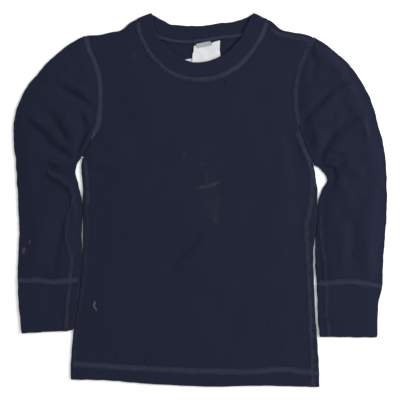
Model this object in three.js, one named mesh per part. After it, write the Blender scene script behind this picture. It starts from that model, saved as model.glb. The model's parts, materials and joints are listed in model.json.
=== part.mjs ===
// A child's long-sleeved thermal top, laid flat on its back panel with the front upwards.
// Millimetres. +Y runs towards the neck, +X towards the wearer's left, +Z up from the surface it lies on.
// Every piece is a wall of cloth: a middle surface worked out from the tables, moved out to both sides.
import * as THREE from 'three';

// Driving dimensions
const CLOTH_WALL = 1.2;
const CUFF_WALL = 2.0;
const NECK_WALL = 2.2;
const LABEL_WALL = 1.0;
const TAB_WALL = 0.8;
const SEAM_GAP = 0.3;
const TURN_RADIUS = 1.2; // middle of the wall, where cloth turns from the under layer to the upper one
const NECK_TURN_RADIUS = 1.3;
const UNDER_LAYER = CLOTH_WALL / 2;
const UPPER_LAYER = UNDER_LAYER + 2 * TURN_RADIUS;
const EDGE_INSET = TURN_RADIUS + CLOTH_WALL / 2; // from an outline to where the flat layer begins
const LABEL_LAYER = CLOTH_WALL + SEAM_GAP + LABEL_WALL / 2;
const TAB_LAYER = LABEL_LAYER + LABEL_WALL / 2 + SEAM_GAP + TAB_WALL / 2;
const BAND_ARCH = 0.7; // the front of the neckband rides over the label
const BODY_CROWN = 0.7; // how far the front stands off the back in the middle
const SLEEVE_CROWN = 1.3;
const CROWN_REACH = 34; // from an edge to the full crown
const CURL_DEGREES = 57; // how far each panel turns towards the other at the shoulder seams

// Grid of each piece
const SIDE_ROWS = 16;
const ARMHOLE_ROWS = 12;
const TUBE_ROWS = 13;
const SLEEVE_COLUMNS = 10;
const SHOULDER_COLUMNS = 4;
const FRONT_NECK_COLUMNS = 20;
const BACK_NECK_COLUMNS = 14;
const TURN_STEPS = 4;
const CURL_STEPS = 2;
const HEM_SAMPLES = 60;
const HEM_SHOULDER_SHARE = 0.08; // of the hem's length below each shoulder
const SIDE_BEND_POWER = 4; // how fast the bend of a side dies out across the panel
const CUFF_ROWS = 4;
const BAND_COLUMNS = 3;

// Side edges of the body, hem to underarm: the outline and the side seam that lies inside it
const RIGHT_SIDE = [
  { y: -224.4, edge: -162.0, seam: -158.0 },
  { y: -190, edge: -160.8, seam: -156.8 },
  { y: -150, edge: -156.5, seam: -152.4 },
  { y: -107, edge: -150.2, seam: -146.2 },
  { y: -64, edge: -147.0, seam: -142.6 },
  { y: -35, edge: -146.4, seam: -140.8 },
  { y: -5, edge: -147.2, seam: -141.2 },
  { y: 18, edge: -146.4, seam: -140.8 },
  { y: 36, edge: -148.8, seam: -142.6 },
  { y: 52.5, edge: -147.0, seam: -143.4 },
];
const LEFT_SIDE = [
  { y: -233.8, edge: 150.0, seam: 140.8 },
  { y: -195, edge: 148.2, seam: 140.6 },
  { y: -150, edge: 144.8, seam: 138.4 },
  { y: -105, edge: 142.9, seam: 136.6 },
  { y: -62, edge: 142.0, seam: 134.2 },
  { y: -38, edge: 145.4, seam: 132.4 },
  { y: -14, edge: 147.0, seam: 136.4 },
  { y: 8, edge: 147.2, seam: 139.4 },
  { y: 25, edge: 145.4, seam: 140.4 },
  { y: 43.5, edge: 141.0, seam: 137.2 },
];

// Bottom edge of the hem, the wearer's right to left
const HEM = [
  { x: -158, y: -224.2 },
  { x: -118, y: -225.0 },
  { x: -60, y: -229.6 },
  { x: 15, y: -232.9 },
  { x: 75, y: -231.6 },
  { x: 141, y: -233.4 },
];

// Shoulder outlines, armhole to neckband
const RIGHT_SHOULDER = [
  { x: -142.6, y: 206.0 },
  { x: -127, y: 206.8 },
  { x: -110, y: 210.4 },
  { x: -98, y: 212.8 },
  { x: -88, y: 221.5 },
  { x: -80.4, y: 225.2 },
];
const LEFT_SHOULDER = [
  { x: 140.8, y: 204.2 },
  { x: 127, y: 208.2 },
  { x: 112, y: 210.8 },
  { x: 102, y: 213.4 },
  { x: 93, y: 221.0 },
  { x: 85.4, y: 225.6 },
];

// The neckband in front and behind, from its low-x end to its high-x end: its seam and its free edge
const FRONT_NECK = [
  { seamX: -78.8, seamY: 224.0, edgeX: -60.0, edgeY: 232.4 },
  { seamX: -75.6, seamY: 208.0, edgeX: -57.8, edgeY: 217.6 },
  { seamX: -69.8, seamY: 194.6, edgeX: -53.2, edgeY: 205.6 },
  { seamX: -61.0, seamY: 180.6, edgeX: -46.4, edgeY: 196.2 },
  { seamX: -50.0, seamY: 168.6, edgeX: -37.6, edgeY: 187.2 },
  { seamX: -36.5, seamY: 158.4, edgeX: -27.6, edgeY: 179.6 },
  { seamX: -19.5, seamY: 152.2, edgeX: -14.5, edgeY: 173.6 },
  { seamX: -1.3, seamY: 150.2, edgeX: -1.5, edgeY: 171.9 },
  { seamX: 16.5, seamY: 152.0, edgeX: 12.0, edgeY: 174.2 },
  { seamX: 33.5, seamY: 158.4, edgeX: 24.5, edgeY: 178.9 },
  { seamX: 48.5, seamY: 168.4, edgeX: 35.5, edgeY: 185.8 },
  { seamX: 61.0, seamY: 181.0, edgeX: 44.0, edgeY: 194.4 },
  { seamX: 71.0, seamY: 194.6, edgeX: 51.4, edgeY: 204.0 },
  { seamX: 78.6, seamY: 209.0, edgeX: 57.6, edgeY: 217.4 },
  { seamX: 83.8, seamY: 224.0, edgeX: 65.2, edgeY: 232.4 },
];
const BACK_NECK = [
  { seamX: -78.8, seamY: 224.0, edgeX: -60.0, edgeY: 232.4 },
  { seamX: -64, seamY: 211.5, edgeX: -48, edgeY: 225.6 },
  { seamX: -48, seamY: 202.4, edgeX: -36, edgeY: 220.0 },
  { seamX: -26, seamY: 198.2, edgeX: -18, edgeY: 218.4 },
  { seamX: -4, seamY: 198.6, edgeX: 2, edgeY: 218.0 },
  { seamX: 24, seamY: 203.2, edgeX: 24, edgeY: 221.4 },
  { seamX: 46, seamY: 205.4, edgeX: 43, edgeY: 223.6 },
  { seamX: 67, seamY: 212.0, edgeX: 55, edgeY: 227.0 },
  { seamX: 83.8, seamY: 224.0, edgeX: 65.2, edgeY: 232.4 },
];

// Sections across each sleeve, from its outline to the armhole seam and, below that, to its underarm edge
const RIGHT_SLEEVE_CAP = [
  { outX: -144.0, outY: 205.8, inX: -143.2, inY: 204.2 },
  { outX: -159.5, outY: 197.6, inX: -138.5, inY: 188 },
  { outX: -176, outY: 185.5, inX: -131.5, inY: 171 },
  { outX: -191, outY: 171.6, inX: -126.5, inY: 154 },
  { outX: -205, outY: 156, inX: -125, inY: 135 },
  { outX: -217.5, outY: 139.4, inX: -125.2, inY: 114 },
  { outX: -226.6, outY: 122, inX: -127.4, inY: 94 },
  { outX: -231.8, outY: 105, inX: -136.2, inY: 75 },
  { outX: -233.6, outY: 86, inX: -148.4, inY: 53 },
];
const RIGHT_SLEEVE_TUBE = [
  { outX: -233.6, outY: 86, inX: -148.4, inY: 53 },
  { outX: -232.9, outY: 69, inX: -153.8, inY: 45 },
  { outX: -231, outY: 52, inX: -155.6, inY: 36 },
  { outX: -229.5, outY: 32, inX: -152.6, inY: 20 },
  { outX: -228, outY: 8, inX: -149.0, inY: 4 },
  { outX: -227, outY: -16, inX: -147.6, inY: -13 },
  { outX: -226.3, outY: -45, inX: -148.4, inY: -42 },
  { outX: -227.7, outY: -74, inX: -148.1, inY: -72 },
  { outX: -228.4, outY: -100, inX: -149.9, inY: -99.4 },
];
const LEFT_SLEEVE_CAP = [
  { outX: 142.2, outY: 203.9, inX: 141.4, inY: 202.3 },
  { outX: 157, outY: 195, inX: 134.5, inY: 189.5 },
  { outX: 173, outY: 181.8, inX: 127.5, inY: 174 },
  { outX: 187.5, outY: 168.5, inX: 122, inY: 157 },
  { outX: 199, outY: 153, inX: 119, inY: 138 },
  { outX: 209, outY: 136, inX: 119.4, inY: 117 },
  { outX: 216.5, outY: 118, inX: 122.6, inY: 97 },
  { outX: 221.6, outY: 100, inX: 129.8, inY: 75 },
  { outX: 226, outY: 83.5, inX: 142.2, inY: 44.4 },
];
const LEFT_SLEEVE_TUBE = [
  { outX: 226, outY: 83.5, inX: 142.2, inY: 44.4 },
  { outX: 230, outY: 67, inX: 149, inY: 40.4 },
  { outX: 232.3, outY: 50, inX: 156, inY: 32.6 },
  { outX: 233.4, outY: 35, inX: 159.4, inY: 24.6 },
  { outX: 234, outY: 14, inX: 153.2, inY: 13.6 },
  { outX: 233.9, outY: -12, inX: 148.0, inY: -8 },
  { outX: 232.6, outY: -34, inX: 146.7, inY: -33 },
  { outX: 231.4, outY: -52, inX: 144.9, inY: -50 },
  { outX: 229.2, outY: -82, inX: 144.8, inY: -80 },
  { outX: 228.8, outY: -108, inX: 146.6, inY: -104.6 },
];

// Cuffs, seam to wrist edge
const RIGHT_CUFF = [
  { outX: -228.2, outY: -100.6, inX: -149.95, inY: -100.0 },
  { outX: -227, outY: -132, inX: -154.35, inY: -132 },
  { outX: -223.2, outY: -167, inX: -158.7, inY: -163 },
];
const LEFT_CUFF = [
  { outX: 228.6, outY: -108.6, inX: 146.6, inY: -105.2 },
  { outX: 224.2, outY: -125, inX: 147.4, inY: -126 },
  { outX: 222.4, outY: -148, inX: 148, inY: -150 },
  { outX: 222, outY: -171.6, inX: 150, inY: -170.8 },
];

// Neck label and the size tab on it: left and right edges, from the neck seam down
const LABEL_ROWS = [
  { y: 197.6, left: -9.5, right: 25.2 },
  { y: 184, left: -10, right: 25.6 },
  { y: 171, left: -10.6, right: 26 },
  { y: 158, left: -11, right: 26.4 },
];
const TAB_ROWS = [
  { y: 197.2, left: -4, right: 15 },
  { y: 190, left: -4, right: 15 },
];

// Large folds: where each ridge or trough runs, how far it rises (a trough sinks) and its half width
const RIGHT_SLEEVE_FOLDS = [
  { x0: -176, y0: 150, x1: -136, y1: 126, rise: 1.3, spread: 9 },
  { x0: -160, y0: 132, x1: -131, y1: 116, rise: -0.9, spread: 7 },
  { x0: -214, y0: 98, x1: -160, y1: 58, rise: 1.4, spread: 8 },
  { x0: -192, y0: 104, x1: -164, y1: 74, rise: -1.0, spread: 8 },
  { x0: -208, y0: 84, x1: -166, y1: 50, rise: -1.0, spread: 7 },
  { x0: -190, y0: 42, x1: -158, y1: 44, rise: 1.3, spread: 6 },
  { x0: -188, y0: 32, x1: -158, y1: 12, rise: 0.9, spread: 7 },
  { x0: -173, y0: -34, x1: -183, y1: -78, rise: -0.9, spread: 8 },
];
const LEFT_SLEEVE_FOLDS = [
  { x0: 128, y0: 90, x1: 188, y1: 144, rise: 1.4, spread: 9 },
  { x0: 126, y0: 104, x1: 172, y1: 148, rise: -1.0, spread: 7 },
  { x0: 150, y0: 50, x1: 202, y1: 104, rise: -1.0, spread: 9 },
  { x0: 156, y0: 52, x1: 190, y1: 62, rise: 1.2, spread: 7 },
  { x0: 168, y0: 26, x1: 200, y1: 8, rise: 0.8, spread: 9 },
  { x0: 178, y0: -40, x1: 172, y1: -88, rise: 0.7, spread: 12 },
];
const BODY_FOLDS = [
  { x0: -136, y0: 20, x1: -104, y1: 44, rise: 1.4, spread: 8 },
  { x0: -126, y0: 78, x1: -96, y1: 66, rise: 1.2, spread: 9 },
  { x0: 121, y0: 62, x1: 126, y1: -30, rise: 1.6, spread: 8 },
  { x0: 92, y0: 205, x1: 122, y1: 190, rise: 1.2, spread: 9 },
  { x0: -6, y0: -46, x1: -38, y1: -84, rise: -0.5, spread: 12 },
];

// Middle surface of one piece: a grid of points, from which cells may be left out
class Sheet {
  constructor() {
    this.points = [];
    this.places = new Map();
    this.faces = [];
  }

  place(point) {
    const key = point.toArray().map((value) => Math.round(value * 1000)).join(' ');
    if (!this.places.has(key)) {
      this.places.set(key, this.points.length);
      this.points.push(point);
    }
    return this.places.get(key);
  }

  // Cells between neighbouring rows; a cell whose corners fall together becomes a triangle or nothing
  addGrid(rows, keeps = () => true) {
    const addFace = (a, b, c) => {
      if (a !== b && b !== c && c !== a) this.faces.push([a, b, c]);
    };
    for (let i = 0; i + 1 < rows.length; i += 1) {
      for (let j = 0; j + 1 < rows[i].length; j += 1) {
        if (!keeps(i, j)) continue;
        const [a, b] = [this.place(rows[i][j]), this.place(rows[i][j + 1])];
        const [c, d] = [this.place(rows[i + 1][j + 1]), this.place(rows[i + 1][j])];
        addFace(a, b, c);
        addFace(a, c, d);
      }
    }
    return this;
  }

  normals() {
    const sums = this.points.map(() => new THREE.Vector3());
    for (const [a, b, c] of this.faces) {
      const ab = this.points[b].clone().sub(this.points[a]);
      const ac = this.points[c].clone().sub(this.points[a]);
      const facing = ab.cross(ac);
      for (const corner of [a, b, c]) sums[corner].add(facing);
    }
    return sums.map((sum) => sum.normalize());
  }

  // The closed wall: both sides of the sheet, and a strip along every open edge
  wall(thickness) {
    const normals = this.normals();
    const half = thickness / 2;
    const outer = this.points.map((p, n) => p.clone().addScaledVector(normals[n], half));
    const inner = this.points.map((p, n) => p.clone().addScaledVector(normals[n], -half));
    const count = this.points.length;
    const indices = [];
    const edges = new Set();
    for (const [a, b, c] of this.faces) {
      indices.push(a, b, c, count + c, count + b, count + a);
      for (const [from, to] of [[a, b], [b, c], [c, a]]) edges.add(`${from} ${to}`);
    }
    for (const edge of edges) {
      const [from, to] = edge.split(' ').map(Number);
      if (edges.has(`${to} ${from}`)) continue;
      indices.push(to, from, count + from, to, count + from, count + to);
    }
    const geometry = new THREE.BufferGeometry();
    const positions = outer.concat(inner).flatMap((p) => p.toArray());
    geometry.setAttribute('position', new THREE.Float32BufferAttribute(positions, 3));
    geometry.setIndex(indices);
    geometry.computeVertexNormals();
    return geometry;
  }
}

// A smooth line through the rows of a table
function curveOf(rows, xName, yName) {
  const points = rows.map((row) => new THREE.Vector3(row[xName], row[yName], 0));
  return new THREE.CatmullRomCurve3(points, false, 'centripetal');
}

// A flat line moved sideways, to the left of its direction where the distance is positive
function shifted(line, distance) {
  return line.map((point, n) => {
    const before = line[Math.max(n - 1, 0)];
    const after = line[Math.min(n + 1, line.length - 1)];
    const along = after.clone().sub(before).normalize();
    return new THREE.Vector3(point.x - along.y * distance, point.y + along.x * distance, point.z);
  });
}

// Rows of points between four lines that share their corners: straight from the bottom line to the top one,
// and then moved by what the sides depart from straight, which dies out away from each side
function surfaceBetween(bottom, top, left, right) {
  const rowCount = left.length - 1;
  const columnCount = bottom.length - 1;
  return left.map((_, i) => bottom.map((__, j) => {
    const v = i / rowCount;
    const u = j / columnCount;
    const leftBend = left[i].clone().sub(left[0].clone().lerp(left[rowCount], v));
    const rightBend = right[i].clone().sub(right[0].clone().lerp(right[rowCount], v));
    const point = bottom[j].clone().lerp(top[j], v);
    point.addScaledVector(leftBend, (1 - u) ** SIDE_BEND_POWER);
    return point.addScaledVector(rightBend, u ** SIDE_BEND_POWER);
  }));
}

// Height of the folds at a place: each falls away like a bell across its line and past its ends
function foldRise(x, y, folds) {
  const place = new THREE.Vector3(x, y, 0);
  const nearest = new THREE.Vector3();
  let rise = 0;
  for (const fold of folds) {
    const from = new THREE.Vector3(fold.x0, fold.y0, 0);
    const to = new THREE.Vector3(fold.x1, fold.y1, 0);
    new THREE.Line3(from, to).closestPointToPoint(place, true, nearest);
    rise += fold.rise * Math.exp(-((place.distanceTo(nearest) / fold.spread) ** 2));
  }
  return rise;
}

// Height of an upper layer: its crown and folds, which die out towards the edge
function upperHeight(x, y, distance, crown, folds) {
  const reach = THREE.MathUtils.smoothstep(distance, 0, CROWN_REACH);
  const held = THREE.MathUtils.smoothstep(distance, 0, CROWN_REACH / 2);
  return UPPER_LAYER + Math.max(0, crown * reach + foldRise(x, y, folds) * held);
}

// One point of a turned edge: angle 0 on the upper layer, half a turn on the under one
function turnPoint(edge, inwards, angle, inset, radius, middle) {
  const distance = inset - radius * Math.sin(angle);
  const point = edge.clone().addScaledVector(inwards, distance);
  point.z = middle + radius * Math.cos(angle);
  return point;
}

const midTurn = UNDER_LAYER + TURN_RADIUS;
const curlEnd = THREE.MathUtils.degToRad(CURL_DEGREES);

// Armhole line of a panel, underarm to shoulder, a seam's gap from the sleeve
function armholeLine(cap, side) {
  const seam = curveOf(cap, 'inX', 'inY').getPoints(ARMHOLE_ROWS);
  return shifted(seam, side * SEAM_GAP).reverse();
}

// Shoulder line where the flat layer ends, armhole to neck
function shoulderLine(shoulder, side) {
  return shifted(curveOf(shoulder, 'x', 'y').getPoints(SHOULDER_COLUMNS), -side * EDGE_INSET);
}

// Top line of a panel: shoulder, neck, shoulder
function topLine(neck) {
  const right = shoulderLine(RIGHT_SHOULDER, 1);
  const left = shoulderLine(LEFT_SHOULDER, -1).reverse();
  return [...right.slice(0, -1), ...neck, ...left.slice(1)];
}

// Side line of a panel from the hem up to the underarm, and on along the armhole
function sideLine(side, column, inset, cap, sign) {
  const below = shifted(curveOf(side, column, 'y').getPoints(SIDE_ROWS), -sign * inset);
  return [...below, ...armholeLine(cap, sign).slice(1)];
}

// How far along the hem a column starts: the shoulder columns share a narrow strip at each side
function hemShare(column, columnCount) {
  const neckColumns = columnCount - 2 * SHOULDER_COLUMNS;
  const fromEnd = Math.min(column, columnCount - column);
  if (fromEnd <= SHOULDER_COLUMNS) {
    const share = (HEM_SHOULDER_SHARE * fromEnd) / SHOULDER_COLUMNS;
    return column === fromEnd ? share : 1 - share;
  }
  return HEM_SHOULDER_SHARE + ((1 - 2 * HEM_SHOULDER_SHARE) * (column - SHOULDER_COLUMNS)) / neckColumns;
}

// Height of a line that runs from low to high x, at one place along it
function heightOn(line, x) {
  const beyond = line.filter((point) => point.x < x).length;
  const next = THREE.MathUtils.clamp(beyond, 1, line.length - 1);
  const [from, to] = [line[next - 1], line[next]];
  const fraction = THREE.MathUtils.clamp((x - from.x) / (to.x - from.x), 0, 1);
  return THREE.MathUtils.lerp(from.y, to.y, fraction);
}

// Panel between the hem, two sides and the top; the shoulder rows curl on above it
function panelRows(column, inset, neck) {
  const top = topLine(neck);
  const left = sideLine(RIGHT_SIDE, column, inset, RIGHT_SLEEVE_CAP, 1);
  const right = sideLine(LEFT_SIDE, column, inset, LEFT_SLEEVE_CAP, -1);
  left[left.length - 1] = top[0];
  right[right.length - 1] = top[top.length - 1];
  const hem = curveOf(HEM, 'x', 'y').getPoints(HEM_SAMPLES);
  const rise = { left: left[0].y - HEM[0].y, right: right[0].y - HEM[HEM.length - 1].y };
  const bottom = top.map((_, j) => {
    const share = hemShare(j, top.length - 1);
    const x = THREE.MathUtils.lerp(left[0].x, right[0].x, share);
    const y = heightOn(hem, x) + THREE.MathUtils.lerp(rise.left, rise.right, share);
    return new THREE.Vector3(x, y, 0);
  });
  return surfaceBetween(bottom, top, left, right);
}

// Shoulder rows that curl half way round towards the other layer; turn is 1 down from above, -1 up from below
function curlRows(topRow, turn) {
  const last = topRow.length - 1;
  const neckEnd = last - SHOULDER_COLUMNS;
  const rows = [];
  for (let step = 1; step <= CURL_STEPS; step += 1) {
    const angle = (curlEnd * step) / CURL_STEPS;
    const outwards = TURN_RADIUS * Math.sin(angle);
    rows.push(topRow.map((point, j) => {
      const onShoulder = j <= SHOULDER_COLUMNS || j >= neckEnd;
      if (!onShoulder) return point.clone();
      const before = topRow[j <= SHOULDER_COLUMNS ? Math.max(j - 1, 0) : Math.max(j - 1, neckEnd)];
      const after = topRow[j <= SHOULDER_COLUMNS ? Math.min(j + 1, SHOULDER_COLUMNS) : Math.min(j + 1, last)];
      const along = after.clone().sub(before).setZ(0).normalize();
      const z = midTurn + turn * TURN_RADIUS * Math.cos(angle);
      return new THREE.Vector3(point.x - along.y * outwards, point.y + along.x * outwards, z);
    }));
  }
  return rows;
}

function frontPanel() {
  const neck = curveOf(FRONT_NECK, 'seamX', 'seamY').getPoints(FRONT_NECK_COLUMNS);
  const rows = panelRows('seam', SEAM_GAP, shifted(neck, -SEAM_GAP));
  const lastColumn = rows[0].length - 1;
  const lastRow = rows.length - 1;
  const ends = rows.flatMap((row) => [row[0], row[lastColumn]]);
  const outline = [...rows[0], ...rows[lastRow], ...ends].map((point) => point.clone());
  for (const point of rows.flat()) {
    const distance = Math.min(...outline.map((place) => Math.hypot(place.x - point.x, place.y - point.y)));
    point.setZ(upperHeight(point.x, point.y, distance, BODY_CROWN, BODY_FOLDS));
  }
  rows.push(...curlRows(rows[lastRow], 1));
  const onShoulder = (j) => j < SHOULDER_COLUMNS || j >= lastColumn - SHOULDER_COLUMNS;
  const keeps = (i, j) => i < lastRow || onShoulder(j);
  return new Sheet().addGrid(rows, keeps).wall(CLOTH_WALL);
}

// The back wraps round both sides below the armholes, to the side seams that lie on the front
function backPanel() {
  const neck = curveOf(BACK_NECK, 'seamX', 'seamY').getPoints(BACK_NECK_COLUMNS);
  const rows = panelRows('edge', EDGE_INSET, shifted(neck, -SEAM_GAP));
  const lastColumn = rows[0].length - 1;
  const lastRow = rows.length - 1;
  rows.forEach((row) => row.forEach((point) => point.setZ(UNDER_LAYER)));
  rows.push(...curlRows(rows[lastRow], -1));
  const wrapped = rows.map((row, i) => [
    ...wrapPoints(RIGHT_SIDE, 1, i, row[0]).reverse(),
    ...row,
    ...wrapPoints(LEFT_SIDE, -1, i, row[lastColumn]),
  ]);
  const wrapCells = TURN_STEPS + 1;
  const keeps = (i, j) => {
    const column = j - wrapCells;
    if (column < 0 || column >= lastColumn) return i < SIDE_ROWS;
    const onShoulder = column < SHOULDER_COLUMNS || column >= lastColumn - SHOULDER_COLUMNS;
    return i < lastRow || onShoulder;
  };
  return new Sheet().addGrid(wrapped, keeps).wall(CLOTH_WALL);
}

// From the under layer round the side of the body to the side seam on top; rows above the underarm stay put
function wrapPoints(side, sign, row, start) {
  const fraction = Math.min(row / SIDE_ROWS, 1);
  const edge = curveOf(side, 'edge', 'y').getPoint(fraction);
  const seam = curveOf(side, 'seam', 'y').getPoint(fraction);
  const inwards = start.clone().sub(edge).setZ(0).normalize();
  const points = [];
  for (let step = 1; step <= TURN_STEPS; step += 1) {
    const angle = Math.PI * (1 - step / TURN_STEPS);
    points.push(turnPoint(edge, inwards, angle, EDGE_INSET, TURN_RADIUS, midTurn));
  }
  points.push(new THREE.Vector3(seam.x - sign * SEAM_GAP / 2, seam.y, UPPER_LAYER));
  return points;
}

// A flattened tube: each row runs along the upper layer, round the outline, back along the under layer and
// round the underarm edge; rows above openRows have no underarm edge, for the armhole is there
function tubeWall(sections, openRows, wall, crown, folds) {
  const radius = TURN_RADIUS;
  const under = wall / 2;
  const upper = under + 2 * radius;
  const inset = radius + wall / 2;
  const rows = sections.map(({ out, inner }, i) => {
    const inwards = inner.clone().sub(out).normalize();
    const width = out.distanceTo(inner);
    const innerInset = i < openRows ? SEAM_GAP / 2 : inset;
    const flat = Math.max(width - inset - innerInset, 0);
    const layer = (heightOf) => {
      const points = [];
      for (let j = 0; j <= SLEEVE_COLUMNS; j += 1) {
        const along = width - innerInset - (flat * j) / SLEEVE_COLUMNS;
        const point = out.clone().addScaledVector(inwards, Math.max(along, inset));
        const edgeDistance = Math.min(along - inset, width - innerInset - along);
        points.push(point.setZ(heightOf(point, edgeDistance)));
      }
      return points;
    };
    const rise = (point, distance) => upperHeight(point.x, point.y, distance, crown, folds) - UPPER_LAYER;
    const top = layer((point, distance) => upper + rise(point, distance));
    const bottom = layer(() => under).reverse();
    const outwards = inwards.clone().negate();
    const outerTurn = [];
    const innerTurn = [];
    for (let step = 1; step < TURN_STEPS; step += 1) {
      const angle = (Math.PI * step) / TURN_STEPS;
      outerTurn.push(turnPoint(out, inwards, angle, inset, radius, under + radius));
      innerTurn.push(turnPoint(inner, outwards, Math.PI - angle, inset, radius, under + radius));
    }
    return [...top, ...outerTurn, ...bottom, ...innerTurn, top[0]];
  });
  const innerTurnStart = 2 * SLEEVE_COLUMNS + TURN_STEPS;
  const keeps = (i, j) => j < innerTurnStart || i >= openRows;
  return new Sheet().addGrid(rows, keeps).wall(wall);
}

// Pairs of points across a sleeve or cuff, from the rows of its table
function sectionsOf(table, count) {
  const out = curveOf(table, 'outX', 'outY').getPoints(count);
  const inner = curveOf(table, 'inX', 'inY').getPoints(count);
  return out.map((point, n) => ({ out: point, inner: inner[n] }));
}

function sleeve(cap, tube, folds) {
  const sections = [...sectionsOf(cap, ARMHOLE_ROWS).slice(0, -1), ...sectionsOf(tube, TUBE_ROWS)];
  return tubeWall(sections, ARMHOLE_ROWS, CLOTH_WALL, SLEEVE_CROWN, folds);
}

function cuff(table) {
  return tubeWall(sectionsOf(table, CUFF_ROWS), 0, CUFF_WALL, 0, []);
}

// The neckband: one ring that lies in front, turns over at both collar ends and runs back behind
function neckband() {
  const under = NECK_WALL / 2;
  const middle = under + NECK_TURN_RADIUS;
  const across = (seam, edge, z) => {
    const row = [];
    for (let n = 0; n <= BAND_COLUMNS; n += 1) row.push(seam.clone().lerp(edge, n / BAND_COLUMNS).setZ(z));
    return row;
  };
  const frontSeam = curveOf(FRONT_NECK, 'seamX', 'seamY').getPoints(FRONT_NECK_COLUMNS);
  const frontEdge = curveOf(FRONT_NECK, 'edgeX', 'edgeY').getPoints(FRONT_NECK_COLUMNS);
  const backSeam = curveOf(BACK_NECK, 'seamX', 'seamY').getPoints(BACK_NECK_COLUMNS);
  const backEdge = curveOf(BACK_NECK, 'edgeX', 'edgeY').getPoints(BACK_NECK_COLUMNS);
  const rows = frontSeam.map((seam, n) => {
    const arch = BAND_ARCH * Math.sin((Math.PI * n) / FRONT_NECK_COLUMNS) ** 2;
    return across(seam, frontEdge[n], middle + NECK_TURN_RADIUS + arch);
  });
  const turn = (seam, edge, sign, from) => {
    const along = edge.clone().sub(seam).normalize();
    const outwards = new THREE.Vector3(-along.y * sign, along.x * sign, 0);
    for (let step = 1; step < TURN_STEPS; step += 1) {
      const angle = from + (Math.PI * step) / TURN_STEPS;
      const row = across(seam, edge, middle + NECK_TURN_RADIUS * Math.cos(angle));
      const reach = NECK_TURN_RADIUS * Math.abs(Math.sin(angle));
      rows.push(row.map((point) => point.addScaledVector(outwards, reach)));
    }
  };
  turn(frontSeam[FRONT_NECK_COLUMNS], frontEdge[FRONT_NECK_COLUMNS], -1, 0);
  for (let n = BACK_NECK_COLUMNS; n >= 0; n -= 1) rows.push(across(backSeam[n], backEdge[n], under));
  turn(frontSeam[0], frontEdge[0], 1, Math.PI);
  rows.push(rows[0]);
  return new Sheet().addGrid(rows).wall(NECK_WALL);
}

// A flat tape whose rows are given by their left and right ends
function tape(table, columns, height, wall) {
  const rows = table.map(({ y, left, right }) => {
    const row = [];
    for (let n = 0; n <= columns; n += 1) row.push(new THREE.Vector3(left + ((right - left) * n) / columns, y, height));
    return row;
  });
  return new Sheet().addGrid(rows).wall(wall);
}

const NAVY_KNIT = { color: 0x25283a, roughness: 0.95, metalness: 0 };
const NAVY_RIB = { color: 0x272a3d, roughness: 0.95, metalness: 0 };
const WHITE_LABEL = { color: 0xe9e9ea, roughness: 0.7, metalness: 0 };
const GREY_TAB = { color: 0xc9ccd0, roughness: 0.7, metalness: 0 };

const pieces = [
  { name: 'back_panel', geometry: backPanel(), finish: NAVY_KNIT },
  { name: 'front_panel', geometry: frontPanel(), finish: NAVY_KNIT },
  { name: 'sleeve_right', geometry: sleeve(RIGHT_SLEEVE_CAP, RIGHT_SLEEVE_TUBE, RIGHT_SLEEVE_FOLDS), finish: NAVY_KNIT },
  { name: 'sleeve_left', geometry: sleeve(LEFT_SLEEVE_CAP, LEFT_SLEEVE_TUBE, LEFT_SLEEVE_FOLDS), finish: NAVY_KNIT },
  { name: 'cuff_right', geometry: cuff(RIGHT_CUFF), finish: NAVY_RIB },
  { name: 'cuff_left', geometry: cuff(LEFT_CUFF), finish: NAVY_RIB },
  { name: 'neckband', geometry: neckband(), finish: NAVY_RIB },
  { name: 'neck_label', geometry: tape(LABEL_ROWS, 3, LABEL_LAYER, LABEL_WALL), finish: WHITE_LABEL },
  { name: 'size_tab', geometry: tape(TAB_ROWS, 2, TAB_LAYER, TAB_WALL), finish: GREY_TAB },
];

// The origin is under the middle of the garment's box
const garment = new THREE.Group();
garment.name = 'thermal_top';
for (const { name, geometry, finish } of pieces) {
  const mesh = new THREE.Mesh(geometry, new THREE.MeshStandardMaterial(finish));
  mesh.name = name;
  garment.add(mesh);
}
const box = new THREE.Box3().setFromObject(garment);
const centre = box.getCenter(new THREE.Vector3());
for (const mesh of garment.children) mesh.position.set(-centre.x, -centre.y, -box.min.z);

export default garment;
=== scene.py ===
"""Looks of a child's navy thermal top that lies flat on a pale floor, front up, seen from straight above.

The garment's own sizes are in millimetres, as a cutter writes them, with x towards the wearer's left, y
towards the neck and z up from the floor. A mesh gets its points in metres, moved by LAID_SHIFT to the frame.
"""

import json
import logging
import math
from dataclasses import dataclass, field
from enum import Enum

import bpy
import numpy as np
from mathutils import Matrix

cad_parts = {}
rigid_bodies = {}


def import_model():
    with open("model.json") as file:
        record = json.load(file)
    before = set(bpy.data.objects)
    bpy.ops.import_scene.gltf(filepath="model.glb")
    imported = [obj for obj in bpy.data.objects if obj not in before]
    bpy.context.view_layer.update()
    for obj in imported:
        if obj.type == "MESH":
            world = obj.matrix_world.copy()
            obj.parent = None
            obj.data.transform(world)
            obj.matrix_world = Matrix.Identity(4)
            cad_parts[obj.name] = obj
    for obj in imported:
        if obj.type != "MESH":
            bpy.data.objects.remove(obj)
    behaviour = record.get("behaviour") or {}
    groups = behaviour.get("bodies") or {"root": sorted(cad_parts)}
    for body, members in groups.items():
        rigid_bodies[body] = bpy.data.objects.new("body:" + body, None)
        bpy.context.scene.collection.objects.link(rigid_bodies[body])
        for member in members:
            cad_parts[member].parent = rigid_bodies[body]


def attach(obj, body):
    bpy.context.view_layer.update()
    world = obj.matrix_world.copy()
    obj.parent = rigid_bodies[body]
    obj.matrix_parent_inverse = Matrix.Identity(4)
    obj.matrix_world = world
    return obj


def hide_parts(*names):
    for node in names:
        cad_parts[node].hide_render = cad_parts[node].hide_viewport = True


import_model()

log = logging.getLogger("thermal_top")

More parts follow.
